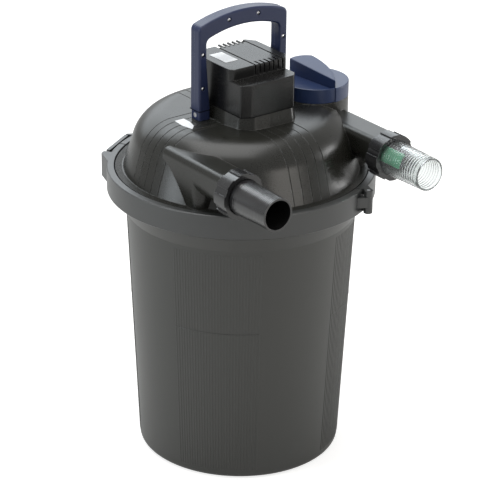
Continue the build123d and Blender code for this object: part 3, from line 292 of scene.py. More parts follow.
def brushed(name, colour, roughness):
    """Stainless steel with fine brushing and a few darker spots."""
    material, tree, shader = blank(name)
    place = object_place(tree)
    lines = noise(tree, stretched(tree, place, (400, 400, 5200)), 1.0, 2.0)
    spots = noise(tree, place, 900.0, 3.0)
    tone = mixed(tree, ranged(tree, spots, 0.55, 0.75, 0.0, 0.5), solid(colour), solid(colour, 0.45))
    feed(tree, shader["Base Color"], tone)
    shader["Metallic"].default_value = 1.0
    feed(tree, shader["Roughness"], ranged(tree, lines, 0.2, 0.8, roughness - 0.08, roughness + 0.12))
    feed(tree, shader["Normal"], bumped(tree, lines, 0.00001, placed(tree, edges, radius=0.0003)["Normal"]))
    return material


def glassy(name, colour, ior, haze, waves, passing=1.0):
    """Clear plastic or quartz: slightly uneven, with a hint of colour."""
    material, tree, shader = blank(name)
    place = object_place(tree)
    uneven = noise(tree, place, 1 / waves, 2.0)
    cloudy = noise(tree, place, 60.0, 4.0)
    tone = mixed(tree, ranged(tree, cloudy, 0.45, 0.8, 0.0, 0.4), solid(colour), solid(colour, 0.93))
    feed(tree, shader["Base Color"], tone)
    feed(tree, shader["Roughness"], ranged(tree, cloudy, 0.3, 0.8, haze * 0.5, haze * 1.6))
    feed(tree, shader["Normal"], bumped(tree, uneven, 0.00008))
    shader["IOR"].default_value = ior
    shader["Transmission Weight"].default_value = passing
    return material


def foamed(name, colour, pore):
    """Open-cell foam: round pores with painted light on their rims and painted shade in their middles, and
    patches of silt.
    """
    silt = (0.16, 0.12, 0.07)
    material, tree, shader = blank(name)
    place = object_place(tree)
    cells = add(tree, "ShaderNodeTexVoronoi", feature="SMOOTH_F1")
    feed(tree, cells.inputs["Vector"], place)
    cells.inputs["Scale"].default_value = 1 / pore
    hollow = ranged(tree, cells.outputs["Distance"], 0.1, 0.5)
    # Pores: painted shade in their middles, painted light on their rims.
    tone = mixed(tree, hollow, solid(colour, 0.25), solid(colour))
    patch = noise(tree, place, 30.0, 4.0)
    tone = mixed(tree, ranged(tree, patch, 0.4, 0.8, 0.0, 0.35), tone, solid(silt))
    feed(tree, shader["Base Color"], tone)
    feed(tree, shader["Roughness"], ranged(tree, patch, 0.2, 0.8, 0.85, 1.0))
    feed(tree, shader["Normal"], bumped(tree, hollow, pore * 0.6))
    return material


finishes = {
    "container_plastic": moulded("container_plastic", (0.019, 0.0198, 0.0162), 0.37, (0.11, 0.11, 0.10),
                                 drift=0.10, drift_size=0.11, grain_gloss=0.08, specular=0.9),
    "lid_plastic": moulded("lid_plastic", (0.016, 0.016, 0.013), 0.28, (0.16, 0.16, 0.15),
                           drift=0.05, grain_gloss=0.06, grain_depth=0.00002, dust=0.02, radius=0.0012),
    "ring_plastic": moulded("ring_plastic", (0.023, 0.025, 0.025), 0.35, (0.16, 0.165, 0.16),
                            dust=0.10, specular=1.0),
    "navy_plastic": moulded("navy_plastic", (0.016, 0.025, 0.074), 0.32, (0.16, 0.19, 0.32),
                            dust=0.05, dust_colour=(0.25, 0.27, 0.33)),
    "knob_plastic": moulded("knob_plastic", (0.022, 0.040, 0.110), 0.33, (0.16, 0.20, 0.36),
                            dust=0.05, dust_colour=(0.25, 0.28, 0.36)),
    "head_plastic": moulded("head_plastic", (0.004, 0.004, 0.004), 0.25, (0.20, 0.20, 0.19),
                            drift=0.08, dust=0.04, grain_size=0.0008, radius=0.0010),
    "black_plastic": moulded("black_plastic", (0.011, 0.011, 0.012), 0.20, (0.20, 0.20, 0.20),
                             dust=0.05, specular=0.9),
    "indicator_green": moulded("indicator_green", (0.06, 0.36, 0.18), 0.35, (0.2, 0.5, 0.35), dust=0.0),
    "white_plastic": moulded("white_plastic", (0.86, 0.87, 0.88), 0.38, (0.6, 0.6, 0.6),
                             drift=0.03, dust=0.04, radius=0.0003),
    "inner_plastic": moulded("inner_plastic", (0.030, 0.031, 0.032), 0.5, (0.1, 0.1, 0.1)),
    "seal_rubber": moulded("seal_rubber", (0.012, 0.012, 0.012), 0.62, (0.05, 0.05, 0.05),
                           grain_depth=0.00006, specular=0.35),
    "steel": brushed("steel", (0.88, 0.88, 0.89), 0.38),
    "clear_plastic": glassy("clear_plastic", (0.79, 0.815, 0.81), 1.32, 0.10, 0.012, passing=0.93),
    "quartz": glassy("quartz", (0.97, 0.98, 0.99), 1.46, 0.02, 0.03),
    "lamp_glass": glassy("lamp_glass", (0.94, 0.95, 0.98), 1.50, 0.03, 0.02),
}
turned_plastic = moulded("turned_black_plastic", (0.010, 0.010, 0.011), 0.18, (0.20, 0.20, 0.20),
                         dust=0.05, turned=3.2 * MM, specular=1.0)
slot_shade = moulded("slot_shade", (0.003, 0.003, 0.003), 0.8, (0.004, 0.004, 0.004),
                     dust=0.0, scuff=0.0, specular=0.1)
foam_kinds = {
    "coarse": foamed("coarse_foam", (0.055, 0.16, 0.42), 0.0034),
    "fine": foamed("fine_foam", (0.30, 0.055, 0.04), 0.0020),
}
for part in frame["record"]["subparts"]:
    finish = finishes.get(part["material_slot"])
    if finish:
        nodes[part["node"]].data.materials.clear()
        nodes[part["node"]].data.materials.append(finish)
for name in ("inlet_hose_tail", "outlet_hose_tail"):
    nodes[name].data.materials[0] = turned_plastic


# ---------------------------------------------------------------- geometry helpers
def piece(name, mesh, body):
    """A finished mesh as a piece of the object that rides on a body."""
    made = bpy.data.objects.new(name, mesh)
    bpy.context.scene.collection.objects.link(made)
    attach(made, body)
    return made


def repeating(name, inputs):
    """An empty geometry tree with named inputs: the tree, its inputs and its output node."""
    tree = bpy.data.node_groups.new(name, "GeometryNodeTree")
    tree.interface.new_socket("Geometry", in_out="OUTPUT", socket_type="NodeSocketGeometry")
    for label, kind, value in inputs:
        socket = tree.interface.new_socket(label, in_out="INPUT", socket_type="NodeSocket" + kind)
        if value is not None:
            socket.default_value = value
    return tree, add(tree, "NodeGroupInput").outputs, add(tree, "NodeGroupOutput").inputs


def grown(tree, name, points=(), **values):
    """Runs a geometry tree with its points and values and returns the plain mesh that it makes."""
    start = bpy.data.meshes.new(name)
    start.from_pydata(points, [], [])
    holder = bpy.data.objects.new(name, start)
    bpy.context.scene.collection.objects.link(holder)
    modifier = holder.modifiers.new("repeat", "NODES")
    modifier.node_group = tree
    for socket in tree.interface.items_tree:
        if socket.in_out == "INPUT":
            key = socket.name.lower().replace(" ", "_")
            if key in values:
                modifier[socket.identifier] = values[key]
    bpy.context.view_layer.update()
    ready = holder.evaluated_get(bpy.context.evaluated_depsgraph_get())
    mesh = bpy.data.meshes.new_from_object(ready)
    mesh.name = name
    bpy.data.objects.remove(holder)
    return mesh


def finish_tree(tree, give, instances, material):
    """Every tree's end: instances made real, with their material."""
    real = add(tree, "GeometryNodeRealizeInstances")
    paint = add(tree, "GeometryNodeSetMaterial")
    feed(tree, real.inputs[0], instances)
    feed(tree, paint.inputs["Geometry"], real.outputs[0])
    feed(tree, paint.inputs["Material"], material)
    feed(tree, give["Geometry"], paint.outputs[0])


def make_bars_tree():
    """Round bars set round the Z axis in evenly turned sets, each from one radius and height to another."""
    tree, have, give = repeating("bars_round_axis", [
        ("Sets", "Int", 4), ("Bars", "Int", 10), ("First Angle", "Float", 0.0), ("Pitch", "Float", 0.03),
        ("Low Radius", "Float", 0.1), ("Low Z", "Float", 0.0), ("High Radius", "Float", 0.1),
        ("High Z", "Float", 0.1), ("Bar Radius", "Float", 0.001), ("Material", "Material", None),
    ])
    total = calc(tree, "MULTIPLY", have["Sets"], have["Bars"])
    points = add(tree, "GeometryNodePoints")
    feed(tree, points.inputs["Count"], total)
    index = add(tree, "GeometryNodeInputIndex").outputs[0]
    which_set = calc(tree, "FLOOR", calc(tree, "DIVIDE", index, have["Bars"]))
    in_set = calc(tree, "SUBTRACT", index, calc(tree, "MULTIPLY", which_set, have["Bars"]))
    set_turn = calc(tree, "MULTIPLY", which_set, calc(tree, "DIVIDE", 2 * pi, have["Sets"]))
    bar_turn = calc(tree, "MULTIPLY", in_set, have["Pitch"])
    angle = calc(tree, "ADD", calc(tree, "ADD", set_turn, bar_turn), have["First Angle"])
    turn = add(tree, "ShaderNodeCombineXYZ")
    feed(tree, turn.inputs["Z"], angle)
    ends = []
    for radius, height in (("Low Radius", "Low Z"), ("High Radius", "High Z")):
        end = add(tree, "ShaderNodeCombineXYZ")
        feed(tree, end.inputs["X"], have[radius])
        feed(tree, end.inputs["Z"], have[height])
        ends.append(end.outputs[0])
    line = add(tree, "GeometryNodeCurvePrimitiveLine")
    feed(tree, line.inputs["Start"], ends[0])
    feed(tree, line.inputs["End"], ends[1])
    section = add(tree, "GeometryNodeCurvePrimitiveCircle")
    section.inputs["Resolution"].default_value = 6
    feed(tree, section.inputs["Radius"], have["Bar Radius"])
    bar = add(tree, "GeometryNodeCurveToMesh")
    feed(tree, bar.inputs["Curve"], line.outputs[0])
    feed(tree, bar.inputs["Profile Curve"], section.outputs[0])
    bar.inputs["Fill Caps"].default_value = True
    spread = add(tree, "GeometryNodeInstanceOnPoints")
    feed(tree, spread.inputs["Points"], points.outputs[0])
    feed(tree, spread.inputs["Instance"], bar.outputs[0])
    feed(tree, spread.inputs["Rotation"], turn.outputs[0])
    finish_tree(tree, give, spread.outputs[0], have["Material"])
    return tree


def make_blocks_tree():
    """One small block on each point."""
    tree, have, give = repeating("blocks_on_points", [
        ("Points", "Geometry", None), ("Size", "Vector", (0.001, 0.001, 0.001)),
        ("Material", "Material", None),
    ])
    block = add(tree, "GeometryNodeMeshCube")
    feed(tree, block.inputs["Size"], have["Size"])
    spread = add(tree, "GeometryNodeInstanceOnPoints")
    feed(tree, spread.inputs["Points"], have["Points"])
    feed(tree, spread.inputs["Instance"], block.outputs[0])
    finish_tree(tree, give, spread.outputs[0], have["Material"])
    return tree


def make_screws_tree():
    """A domed screw on each point: its head points along -Y and its shank along +Y."""
    tree, have, give = repeating("domed_screws", [
        ("Points", "Geometry", None), ("Head Radius", "Float", 0.002), ("Head Height", "Float", 0.002),
        ("Shank Radius", "Float", 0.001), ("Shank Length", "Float", 0.01), ("Material", "Material", None),
    ])
    ball = add(tree, "GeometryNodeMeshUVSphere")
    ball.inputs["Segments"].default_value = 32
    ball.inputs["Rings"].default_value = 16
    ball.inputs["Radius"].default_value = 1.0
    size = add(tree, "ShaderNodeCombineXYZ")
    feed(tree, size.inputs["X"], have["Head Radius"])
    feed(tree, size.inputs["Y"], have["Head Height"])
    feed(tree, size.inputs["Z"], have["Head Radius"])
    head = add(tree, "GeometryNodeTransform")
    feed(tree, head.inputs["Geometry"], ball.outputs[0])
    feed(tree, head.inputs["Scale"], size.outputs[0])
    shank = add(tree, "GeometryNodeMeshCylinder")
    shank.inputs["Vertices"].default_value = 16
    feed(tree, shank.inputs["Radius"], have["Shank Radius"])
    feed(tree, shank.inputs["Depth"], have["Shank Length"])
    shift = add(tree, "ShaderNodeCombineXYZ")
    feed(tree, shift.inputs["Y"], calc(tree, "MULTIPLY", have["Shank Length"], 0.5))
    lying = add(tree, "GeometryNodeTransform")
    lying.inputs["Rotation"].default_value = (pi / 2, 0, 0)
    feed(tree, lying.inputs["Geometry"], shank.outputs[0])
    feed(tree, lying.inputs["Translation"], shift.outputs[0])
    both = add(tree, "GeometryNodeJoinGeometry")
    feed(tree, both.inputs[0], head.outputs[0])
    feed(tree, both.inputs[0], lying.outputs[0])
    spread = add(tree, "GeometryNodeInstanceOnPoints")
    feed(tree, spread.inputs["Points"], have["Points"])
    feed(tree, spread.inputs["Instance"], both.outputs[0])
    finish_tree(tree, give, spread.outputs[0], have["Material"])
    return tree


def smooth(mesh):
    """Smooth faces all over."""
    mesh.polygons.foreach_set("use_smooth", [True] * len(mesh.polygons))
    mesh.update()
    return mesh


def mesh_of(name, shape, material):
    """A finished bmesh as a smooth mesh with its material."""
    made = bpy.data.meshes.new(name)
    shape.to_mesh(made)
    shape.free()
    made.materials.append(material)
    return smooth(made)


def join_rows(shape, rows, around=True):
    """Faces between each row of vertices and the next; around also joins the ends of every row."""
    count = len(rows[0])
    for here, there in zip(rows, rows[1:]):
        for k in range(count if around else count - 1):
            j = (k + 1) % count
            shape.faces.new((here[k], there[k], there[j], here[j]))


def lathe_shape(profile, segments):
    """A closed profile turned about the Z axis; profile(angle) gives its (radius, height) corners."""
    shape = bmesh.new()
    rings = []
    for i in range(segments):
        a = 2 * pi * i / segments
        rings.append([shape.verts.new((r * cos(a), r * sin(a), z)) for r, z in profile(a)])
    join_rows(shape, rings + rings[:1])
    bmesh.ops.recalc_face_normals(shape, faces=shape.faces)
    return shape


def lathed(name, profile, material, segments=128, lay=None):
    """A closed profile of (radius, height) turned about the Z axis, then laid where it belongs."""
    shape = lathe_shape(lambda a: profile, segments)
    if lay is not None:
        bmesh.ops.transform(shape, matrix=lay, verts=shape.verts)
    made = mesh_of(name, shape, material)
    made.set_sharp_from_angle(angle=radians(40))
    return made


def loop_band(name, loops, material):
    """A closed band round an opening; its section runs through loops of equally many corners."""
    turns, count = len(loops), len(loops[0])
    faces = []
    for a in range(turns):
        here, there = a * count, (a + 1) % turns * count
        for k in range(count):
            j = (k + 1) % count
            faces.append((here + k, here + j, there + j, there + k))
    made = bpy.data.meshes.new(name)
    made.from_pydata([spot for loop in loops for spot in loop], [], faces)
    made.materials.append(material)
    return made


# ---------------------------------------------------------------- container and deck
bars_tree = make_bars_tree()
base_r = 144.5 * MM
neck_r = 162.8 * MM
neck_z = 363.0 * MM


def wall_radius(z):
    """Outer radius of the container's tapered wall."""
    return base_r + (neck_r - base_r) * z / neck_z


# Ribs: four panels of upright bars, sunk into the wall and fading towards the top.
panel_count, panel_ribs = 4, 30
panel_start, panel_turn = -161.5, 44.8      # degrees, from a panel's first rib to its last
rib_r = 1.6 * MM
rib_z = (14 * MM, 356 * MM)
rib_proud = (0.65 * MM, 0.40 * MM)
rib_mid_r = [wall_radius(z) - rib_r + proud for z, proud in zip(rib_z, rib_proud)]
rib_mesh = grown(
    bars_tree, "container_ribs", sets=panel_count, bars=panel_ribs, first_angle=radians(panel_start),
    pitch=radians(panel_turn / (panel_ribs - 1)), low_radius=rib_mid_r[0], low_z=rib_z[0],
    high_radius=rib_mid_r[1], high_z=rib_z[1], bar_radius=rib_r, material=finishes["container_plastic"])
piece("container_ribs", smooth(rib_mesh), "filter_body")

# Hatching: short bars across the lid's deck, one a degree.
deck_z = 426 * MM
hatch_r = 0.55 * MM
hatch_z = deck_z - 0.15 * MM
hatch_reach = (168.6 * MM, 177.6 * MM)
hatch_mesh = grown(
    bars_tree, "deck_hatch", sets=1, bars=360, first_angle=0.0, pitch=radians(1.0),
    low_radius=hatch_reach[0], low_z=hatch_z, high_radius=hatch_reach[1], high_z=hatch_z,
    bar_radius=hatch_r, material=finishes["lid_plastic"])
piece("deck_hatch", smooth(hatch_mesh), "filter_body")


def arc_bead(name, radius, z, thick, spans, material):
    """Thin round beads along arcs at one height, each from one angle to another."""
    steps, sides = 48, 8
    section = [(radius + thick * cos(2 * pi * k / sides), z + thick * sin(2 * pi * k / sides))
               for k in range(sides)]
    shape = bmesh.new()
    for start, end in spans:
        rows = []
        for i in range(steps + 1):
            a = start + (end - start) * i / steps
            rows.append([shape.verts.new((r * cos(a), r * sin(a), height)) for r, height in section])
        join_rows(shape, rows)
        shape.faces.new(rows[0])
        shape.faces.new(rows[-1])
    bmesh.ops.recalc_face_normals(shape, faces=shape.faces)
    return mesh_of(name, shape, material)


mould_line_z = 234 * MM
mould_line_r = 0.42 * MM
mould_line_out = 0.12 * MM                  # from the wall out to the bead's middle
bead_start, bead_end = -162, -116.5         # degrees, on the first panel
beads = [(radians(bead_start + 90 * i), radians(bead_end + 90 * i)) for i in range(panel_count)]
mould_line_mesh = arc_bead("mould_line", wall_radius(mould_line_z) + mould_line_out, mould_line_z,
                           mould_line_r, beads, finishes["container_plastic"])
piece("mould_line", mould_line_mesh, "filter_body")

# Painted shade: a near-black ring sunk in the gap between the lid's deck and the clamp ring, standing for
# the gap's shade.
gap_shade_r = (177.9 * MM, 179.8 * MM)
gap_shade_low, gap_shade_top_in, gap_shade_top_out = 425.4 * MM, 426.3 * MM, 426.5 * MM
gap_shade_section = [(gap_shade_r[0], gap_shade_low), (gap_shade_r[1], gap_shade_low),
                  (gap_shade_r[1], gap_shade_top_out), (gap_shade_r[0], gap_shade_top_in)]
gap_shade_mesh = lathed("lid_edge_gasket", gap_shade_section, slot_shade, segments=256)
piece("lid_edge_gasket", gap_shade_mesh, "filter_body")

# ---------------------------------------------------------------- clear sight tube
tube_low, tube_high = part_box("drain_sight_tube")
tube_x = (tube_low.x + tube_high.x) / 2
tube_z = (tube_low.z + tube_high.z) / 2

# The profile is in millimetres: radius, and distance from the duct's end. It has a collar under the
# union nut, a tapered tail with fine rings round it, and a rounded mouth.
tube_bore = 20.6
collar_r, collar_low, collar_top = 27.2, 17.5, 19.8
tail_r, tail_start, tail_taper, tail_taper_l = 25.0, 26.0, 1.6, 70.0
ripple_pitch, ripple_steps, ripple_count, ripple_depth = 4.8, 8, 14, 0.22
tube_end = 98.0
tube_profile = [(tube_bore, collar_low), (collar_r, collar_low), (collar_r, collar_top),
                (tail_r, collar_top), (tail_r, tail_start - 1)]
for i in range(ripple_count * ripple_steps):
    s = tail_start + i * ripple_pitch / ripple_steps
    smooth_r = tail_r - tail_taper * (s - tail_start) / tail_taper_l
    tube_profile.append((smooth_r - ripple_depth + ripple_depth * cos(2 * pi * i / ripple_steps), s))
tube_profile += [(23.4, 96.2), (23.2, 97.4), (22.6, 97.95), (21.4, 97.95), (20.8, 97.4), (tube_bore, 96.2)]
tube_place = Matrix.Translation((tube_x, tube_low.y + tube_end * MM, tube_z))
tube_place = tube_place @ Matrix.Rotation(pi / 2, 4, "X")
piece("ribbed_sight_tube", lathed(
    "ribbed_sight_tube", [(r * MM, s * MM) for r, s in tube_profile], finishes["clear_plastic"],
    lay=tube_place), "filter_body")
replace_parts(bpy.data.objects["ribbed_sight_tube"], "drain_sight_tube")

# ---------------------------------------------------------------- lamp head slots
blocks_tree = make_blocks_tree()


def blocks(name, points, size, material, body):
    """Small blocks of one size on points as one piece."""
    mesh = grown(blocks_tree, name, points=points, size=size, material=material)
    return piece(name, mesh, body)


# Painted shade: dark sheets on the floors of the short slots and of the two long grooves, and on the slots'
# back walls.
head_low, head_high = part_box("lamp_head_housing")
groove_x = (head_low.x + 41.3 * MM, head_high.x - 14.5 * MM)
slot_x = [groove_x[0] + (groove_x[1] - groove_x[0]) * i / 6 for i in range(7)]
slot_w, groove_w = 2.7 * MM, 2.3 * MM
slot_l, groove_l = 12.9 * MM, 93 * MM
slot_back_h = 13.6 * MM
shade_sheet_t = 0.2 * MM
slot_floor = head_high.z - 2.2 * MM
shade_sheet_z = slot_floor + 0.05 * MM
step_y = head_low.y + 29.5 * MM             # where the head's low front step ends
slot_mid_y = step_y + 6.6 * MM
groove_mid_y = step_y + 46.5 * MM
slot_back = (step_y + 1.45 * MM, slot_floor - 5.2 * MM)
blocks("slot_floors", [(x, slot_mid_y, shade_sheet_z) for x in slot_x[1:-1]], (slot_w, slot_l, shade_sheet_t),
       slot_shade, "filter_body")
blocks("groove_floors", [(x, groove_mid_y, shade_sheet_z) for x in groove_x], (groove_w, groove_l, shade_sheet_t),
       slot_shade, "filter_body")
blocks("slot_backs", [(x, *slot_back) for x in slot_x], (slot_w, shade_sheet_t, slot_back_h),
       slot_shade, "filter_body")

# ---------------------------------------------------------------- handle screws
screw_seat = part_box("handle_front_shell")[0].y + 2.8 * MM
screw_xz = ((69, 555), (69, 604), (25, 646.5))      # mm, mirrored to the other leg
screw_places = [(side * x * MM, screw_seat, z * MM) for side in (-1, 1) for x, z in screw_xz]
screw_head_r, screw_head_h = 2.9 * MM, 2.7 * MM
cross_w, cross_l = 0.5 * MM, 2.2 * MM
screws_mesh = grown(make_screws_tree(), "domed_handle_screws", points=screw_places,
                    head_radius=screw_head_r, head_height=screw_head_h,
                    shank_radius=1.8 * MM, shank_length=16 * MM, material=finishes["steel"])
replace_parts(piece("domed_handle_screws", smooth(screws_mesh), "pump_handle"), "handle_screws")
# Painted shade: dark bars in a cross on each screw head's tip, standing for the shade in its cross recess.
cross_places = [(x, y - screw_head_h, z) for x, y, z in screw_places]
for name, size in (("screw_cross_flat", (cross_l, cross_w, cross_w)),
                   ("screw_cross_upright", (cross_w, cross_w, cross_l))):
    blocks(name, cross_places, size, slot_shade, "pump_handle")


# ---------------------------------------------------------------- painted shade at the joints of lamp head and handle
def hull_of(spots):
    """The convex outline round sorted flat points, in order."""
    def bend(a, b, c):
        return (b[0] - a[0]) * (c[1] - a[1]) - (b[1] - a[1]) * (c[0] - a[0])

    def side(points):
        chain = []
        for spot in points:
            while len(chain) > 1 and bend(chain[-2], chain[-1], spot) <= 0:
                chain.pop()
            chain.append(spot)
        return chain[:-1]

    return side(spots) + side(spots[::-1])


def outline_line(name, node, z0, z1, proud):
    """Dark band that follows a part's outline at the joint below it: painted shade of the joint."""
    near, sunk = 1.2 * MM, 1.5 * MM
    spots = sorted({(round(v.co.x, 5), round(v.co.y, 5)) for v in nodes[node].data.vertices
                    if abs(v.co.z - z1) < near})
    middle = Vector((sum(x for x, y in spots) / len(spots), sum(y for x, y in spots) / len(spots)))
    outline = hull_of(spots)
    loops = []
    for grow, z in ((proud, z0), (proud, z1), (-sunk, z1), (-sunk, z0)):
        loop = []
        for x, y in outline:
            away = (Vector((x, y)) - middle).normalized()
            loop.append((x + away.x * grow, y + away.y * grow, z))
        loops.append(loop)
    return piece(name, loop_band(name, loops, slot_shade), "filter_body")


outline_line("head_joint_line", "lamp_head_housing", head_low.z - 0.6 * MM, head_low.z + 0.5 * MM, 0.25 * MM)


def gap_shade_band(name, node):
    """Thin dark band round the joint between a leg of the handle and its foot: painted shade of the gap
    there.
    """
    low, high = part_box(node)
    proud, wall = 0.25 * MM, 2.0 * MM
    lap_x, lap_y = 0.6 * MM, 1.0 * MM       # the leg is wider than the foot, outwards and to the back
    z0, z1 = high.z - 0.4 * MM, high.z + 0.7 * MM
    x0, x1, y0, y1 = low.x - proud, high.x + proud, low.y - proud, high.y + lap_y + proud
    if low.x > 0:
        x1 += lap_x
    else:
        x0 -= lap_x
    outer = [(x0, y0), (x1, y0), (x1, y1), (x0, y1)]
    inner = [(x0 + wall, y0 + wall), (x1 - wall, y0 + wall), (x1 - wall, y1 - wall), (x0 + wall, y1 - wall)]
    loops = [[(x, y, z) for x, y in loop]
             for loop, z in ((outer, z0), (outer, z1), (inner, z1), (inner, z0))]
    return piece(name, loop_band(name, loops, slot_shade), "pump_handle")


gap_shade_band("handle_cushion_left", "handle_foot_left")
gap_shade_band("handle_cushion_right", "handle_foot_right")


# ---------------------------------------------------------------- dished pocket of the valve knob
def pocket_dish():
    """The knob's finger pocket as a dish that rises from the grip to the rim."""
    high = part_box("valve_knob")[1]
    radius = 45.0 * MM                      # of the pocket's outer edge
    centre = Vector((high.x - 48.6 * MM, -5.0 * MM))
    floor = high.z - 22.8 * MM
    rise = 3.1 * MM
    tip = Vector((0.0, -46.8 * MM))         # ends of the grip's foot, from the centre
    heel = Vector((-9.9 * MM, 45.7 * MM))
    margin = 0.03                           # share of the grip's length kept free at each end
    along = (heel - tip).normalized()
    side = Vector((-along.y, along.x))
    count, across = 40, 14
    shape = bmesh.new()
    rows = []
    for i in range(count + 1):
        start = tip.lerp(heel, margin + (1 - 2 * margin) * i / count)
        inward = start.dot(side)
        reach = -inward + (inward * inward - start.length_squared + radius * radius) ** 0.5
        row = []
        for k in range(across + 1):
            share = k / across
            spot = centre + start + side * reach * share
            row.append(shape.verts.new((spot.x, spot.y, floor + rise * share ** 2)))
        rows.append(row)
    join_rows(shape, rows, around=False)
    bmesh.ops.recalc_face_normals(shape, faces=shape.faces)
    if shape.faces[0].normal.z < 0:
        bmesh.ops.reverse_faces(shape, faces=shape.faces)
    dish = mesh_of("pocket_dish", shape, finishes["knob_plastic"])
    return piece("pocket_dish", dish, "valve")


pocket_dish()


# ---------------------------------------------------------------- foam discs
rod_x, rod_y = 69 * MM, 8 * MM
rod_hole_r = 6.2 * MM
tube_hole_r = 35.2 * MM


def foam_section(low, high, radius):
    """Section of a foam disc: soft, slightly crowned outer edge and a small round at the hole."""
    soft, small = 6 * MM, 1.5 * MM
    middle = (low.z + high.z) / 2
    between = (radius + tube_hole_r) / 2
    rim = [(radius - soft, low.z), (radius - soft * 0.3, low.z + soft * 0.3), (radius, low.z + soft),
           (radius + 0.2 * MM, middle),
           (radius, high.z - soft), (radius - soft * 0.3, high.z - soft * 0.3), (radius - soft, high.z)]
    hole = [(between, high.z), (tube_hole_r + small, high.z), (tube_hole_r, high.z - small),
            (tube_hole_r, middle),
            (tube_hole_r, low.z + small), (tube_hole_r + small, low.z), (between, low.z)]

    def waved(a):
        wave = 0.4 * MM * sin(7 * a + low.z * 90) + 0.25 * MM * sin(17 * a)
        return [(r + (wave if r > radius - soft else 0), z) for r, z in rim + hole]

    return waved


def rod_cut(disc, place, depth):
    """Cuts a pull rod's hole through a foam disc."""
    shape = bmesh.new()
    bmesh.ops.create_cone(shape, cap_ends=True, segments=24, radius1=rod_hole_r, radius2=rod_hole_r,
                          depth=depth, matrix=Matrix.Translation(place))
    mesh = bpy.data.meshes.new("rod_hole")
    shape.to_mesh(mesh)
    shape.free()
    hole = bpy.data.objects.new("rod_hole", mesh)
    bpy.context.scene.collection.objects.link(hole)
    modifier = disc.modifiers.new("hole", "BOOLEAN")
    modifier.object = hole
    modifier.operation = "DIFFERENCE"
    modifier.solver = "EXACT"
    bpy.context.view_layer.update()
    cut = bpy.data.meshes.new_from_object(disc.evaluated_get(bpy.context.evaluated_depsgraph_get()))
    disc.modifiers.clear()
    disc.data = cut
    bpy.data.objects.remove(hole)


def foam_disc(name, node, kind):
    """A foam disc with soft, slightly crowned edges and holes for the tube and the rods."""
    low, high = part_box(node)
    radius = (high.x - low.x) / 2 - 0.3 * MM
    shape = lathe_shape(foam_section(low, high, radius), 96)
    disc = bpy.data.objects.new(name, mesh_of(name, shape, foam_kinds[kind]))
    bpy.context.scene.collection.objects.link(disc)
    for side in (-1, 1):
        rod_cut(disc, (side * rod_x, rod_y, (low.z + high.z) / 2), (high.z - low.z) * 1.4)
    smooth(disc.data)
    disc.data.set_sharp_from_angle(angle=radians(50))
    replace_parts(disc, node)
    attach(disc, "filter_body")
    return disc


for i, kind in enumerate(("coarse", "coarse", "fine", "fine")):
    disc = foam_disc(f"foam_disc_{i + 1}", f"filter_foam_{i + 1}", kind)
    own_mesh(disc)


# ---------------------------------------------------------------- floor, light and camera
def seen_level(tree, mirrored):
    """1 for what is seen straight or through clear parts, a share of it in reflections, else 0."""
    seen = add(tree, "ShaderNodeLightPath").outputs
    direct = calc(tree, "MAXIMUM", seen["Is Camera Ray"], seen["Is Transmission Ray"])
    return calc(tree, "MAXIMUM", direct, calc(tree, "MULTIPLY", seen["Is Glossy Ray"], mirrored))


def make_floor():
    """A pale floor that keeps the shadow and fades into the background."""
    half = 30.0
    mirrored, glow_strength = 0.3, 0.72
    mesh = bpy.data.meshes.new("floor")
    corners = [(-half, -half, 0), (half, -half, 0), (half, half, 0), (-half, half, 0)]
    mesh.from_pydata(corners, [], [(0, 1, 2, 3)])
    floor = bpy.data.objects.new("floor", mesh)
    bpy.context.scene.collection.objects.link(floor)
    material = bpy.data.materials.new("floor_paper")
    material.use_nodes = True
    tree = material.node_tree
    tree.nodes.clear()
    paper = add(tree, "ShaderNodeBsdfDiffuse")
    paper.inputs["Color"].default_value = (0.62, 0.61, 0.59, 1)
    glow = add(tree, "ShaderNodeEmission")
    feed(tree, glow.inputs["Strength"], calc(tree, "MULTIPLY", seen_level(tree, mirrored), glow_strength))
    both = add(tree, "ShaderNodeAddShader")
    feed(tree, both.inputs[0], paper.outputs[0])
    feed(tree, both.inputs[1], glow.outputs[0])
    feed(tree, add(tree, "ShaderNodeOutputMaterial").inputs[0], both.outputs[0])
    mesh.materials.append(material)


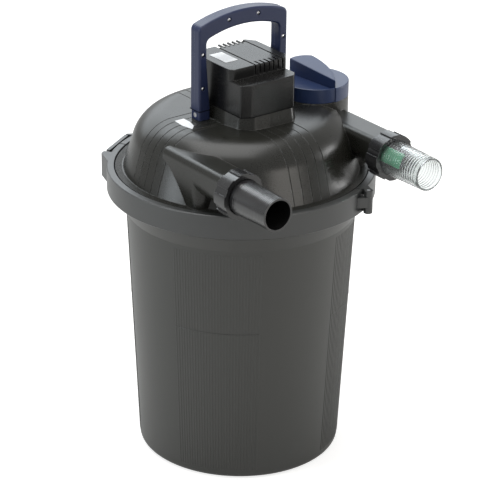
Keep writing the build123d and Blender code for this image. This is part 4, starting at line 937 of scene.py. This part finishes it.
def make_world():
    """White behind the object; a softer level lights it."""
    mirrored, fill = 0.5, 0.34
    world = bpy.data.worlds.new("studio")
    bpy.context.scene.world = world
    world.use_nodes = True
    tree = world.node_tree
    sky = tree.nodes["Background"].inputs
    sky["Color"].default_value = (1, 1, 1, 1)
    feed(tree, sky["Strength"], calc(tree, "MAXIMUM", seen_level(tree, mirrored), fill))


def softbox(name, place, aim, size, power, colour):
    """A soft rectangular lamp aimed at a point."""
    light = bpy.data.lights.new(name, "AREA")
    light.shape = "RECTANGLE"
    light.size, light.size_y = size
    light.energy = power
    light.color = colour
    made = bpy.data.objects.new(name, light)
    bpy.context.scene.collection.objects.link(made)
    made.location = place
    made.rotation_euler = (Vector(aim) - Vector(place)).to_track_quat("-Z", "Y").to_euler()


make_floor()
make_world()
cool, neutral, warm = (0.88, 0.95, 1.0), (1, 1, 1), (1.0, 0.96, 0.90)
# name, place, aim, size (all in metres), power in watts, colour
softbox("softbox_top", (-0.2, 0.2, 2.2), (0, 0, 0.5), (1.6, 1.4), 20, neutral)
softbox("softbox_back", (0.9, 2.35, 1.70), (0, 0, 0.45), (3.6, 1.7), 31, cool)
softbox("softbox_high", (0.15, 2.0, 2.35), (-0.05, 0, 0.45), (1.5, 0.6), 9, cool)
softbox("softbox_left", (-2.3, 0.5, 1.2), (0, 0, 0.35), (0.9, 1.6), 22, cool)
softbox("softbox_front", (0.3, -2.4, 0.95), (0, 0, 0.42), (1.4, 0.8), 10, warm)
softbox("softbox_right", (2.2, -0.9, 0.7), (0, 0, 0.35), (0.7, 1.4), 20, neutral)

camera_place = (-1.972, -2.617, 1.774)
camera_aim = (0, 0, 0.308)
camera_roll = 0.0113        # radians
camera_data = bpy.data.cameras.new("camera")
camera_data.sensor_width = 36
camera_data.lens = 187.8
camera = bpy.data.objects.new("camera", camera_data)
bpy.context.scene.collection.objects.link(camera)
camera.location = camera_place
look = (Vector(camera_aim) - camera.location).to_track_quat("-Z", "Y")
camera.rotation_euler = (look.to_matrix() @ Matrix.Rotation(camera_roll, 3, "Z")).to_euler()
bpy.context.scene.camera = camera
bpy.context.scene.view_settings.view_transform = "Standard"
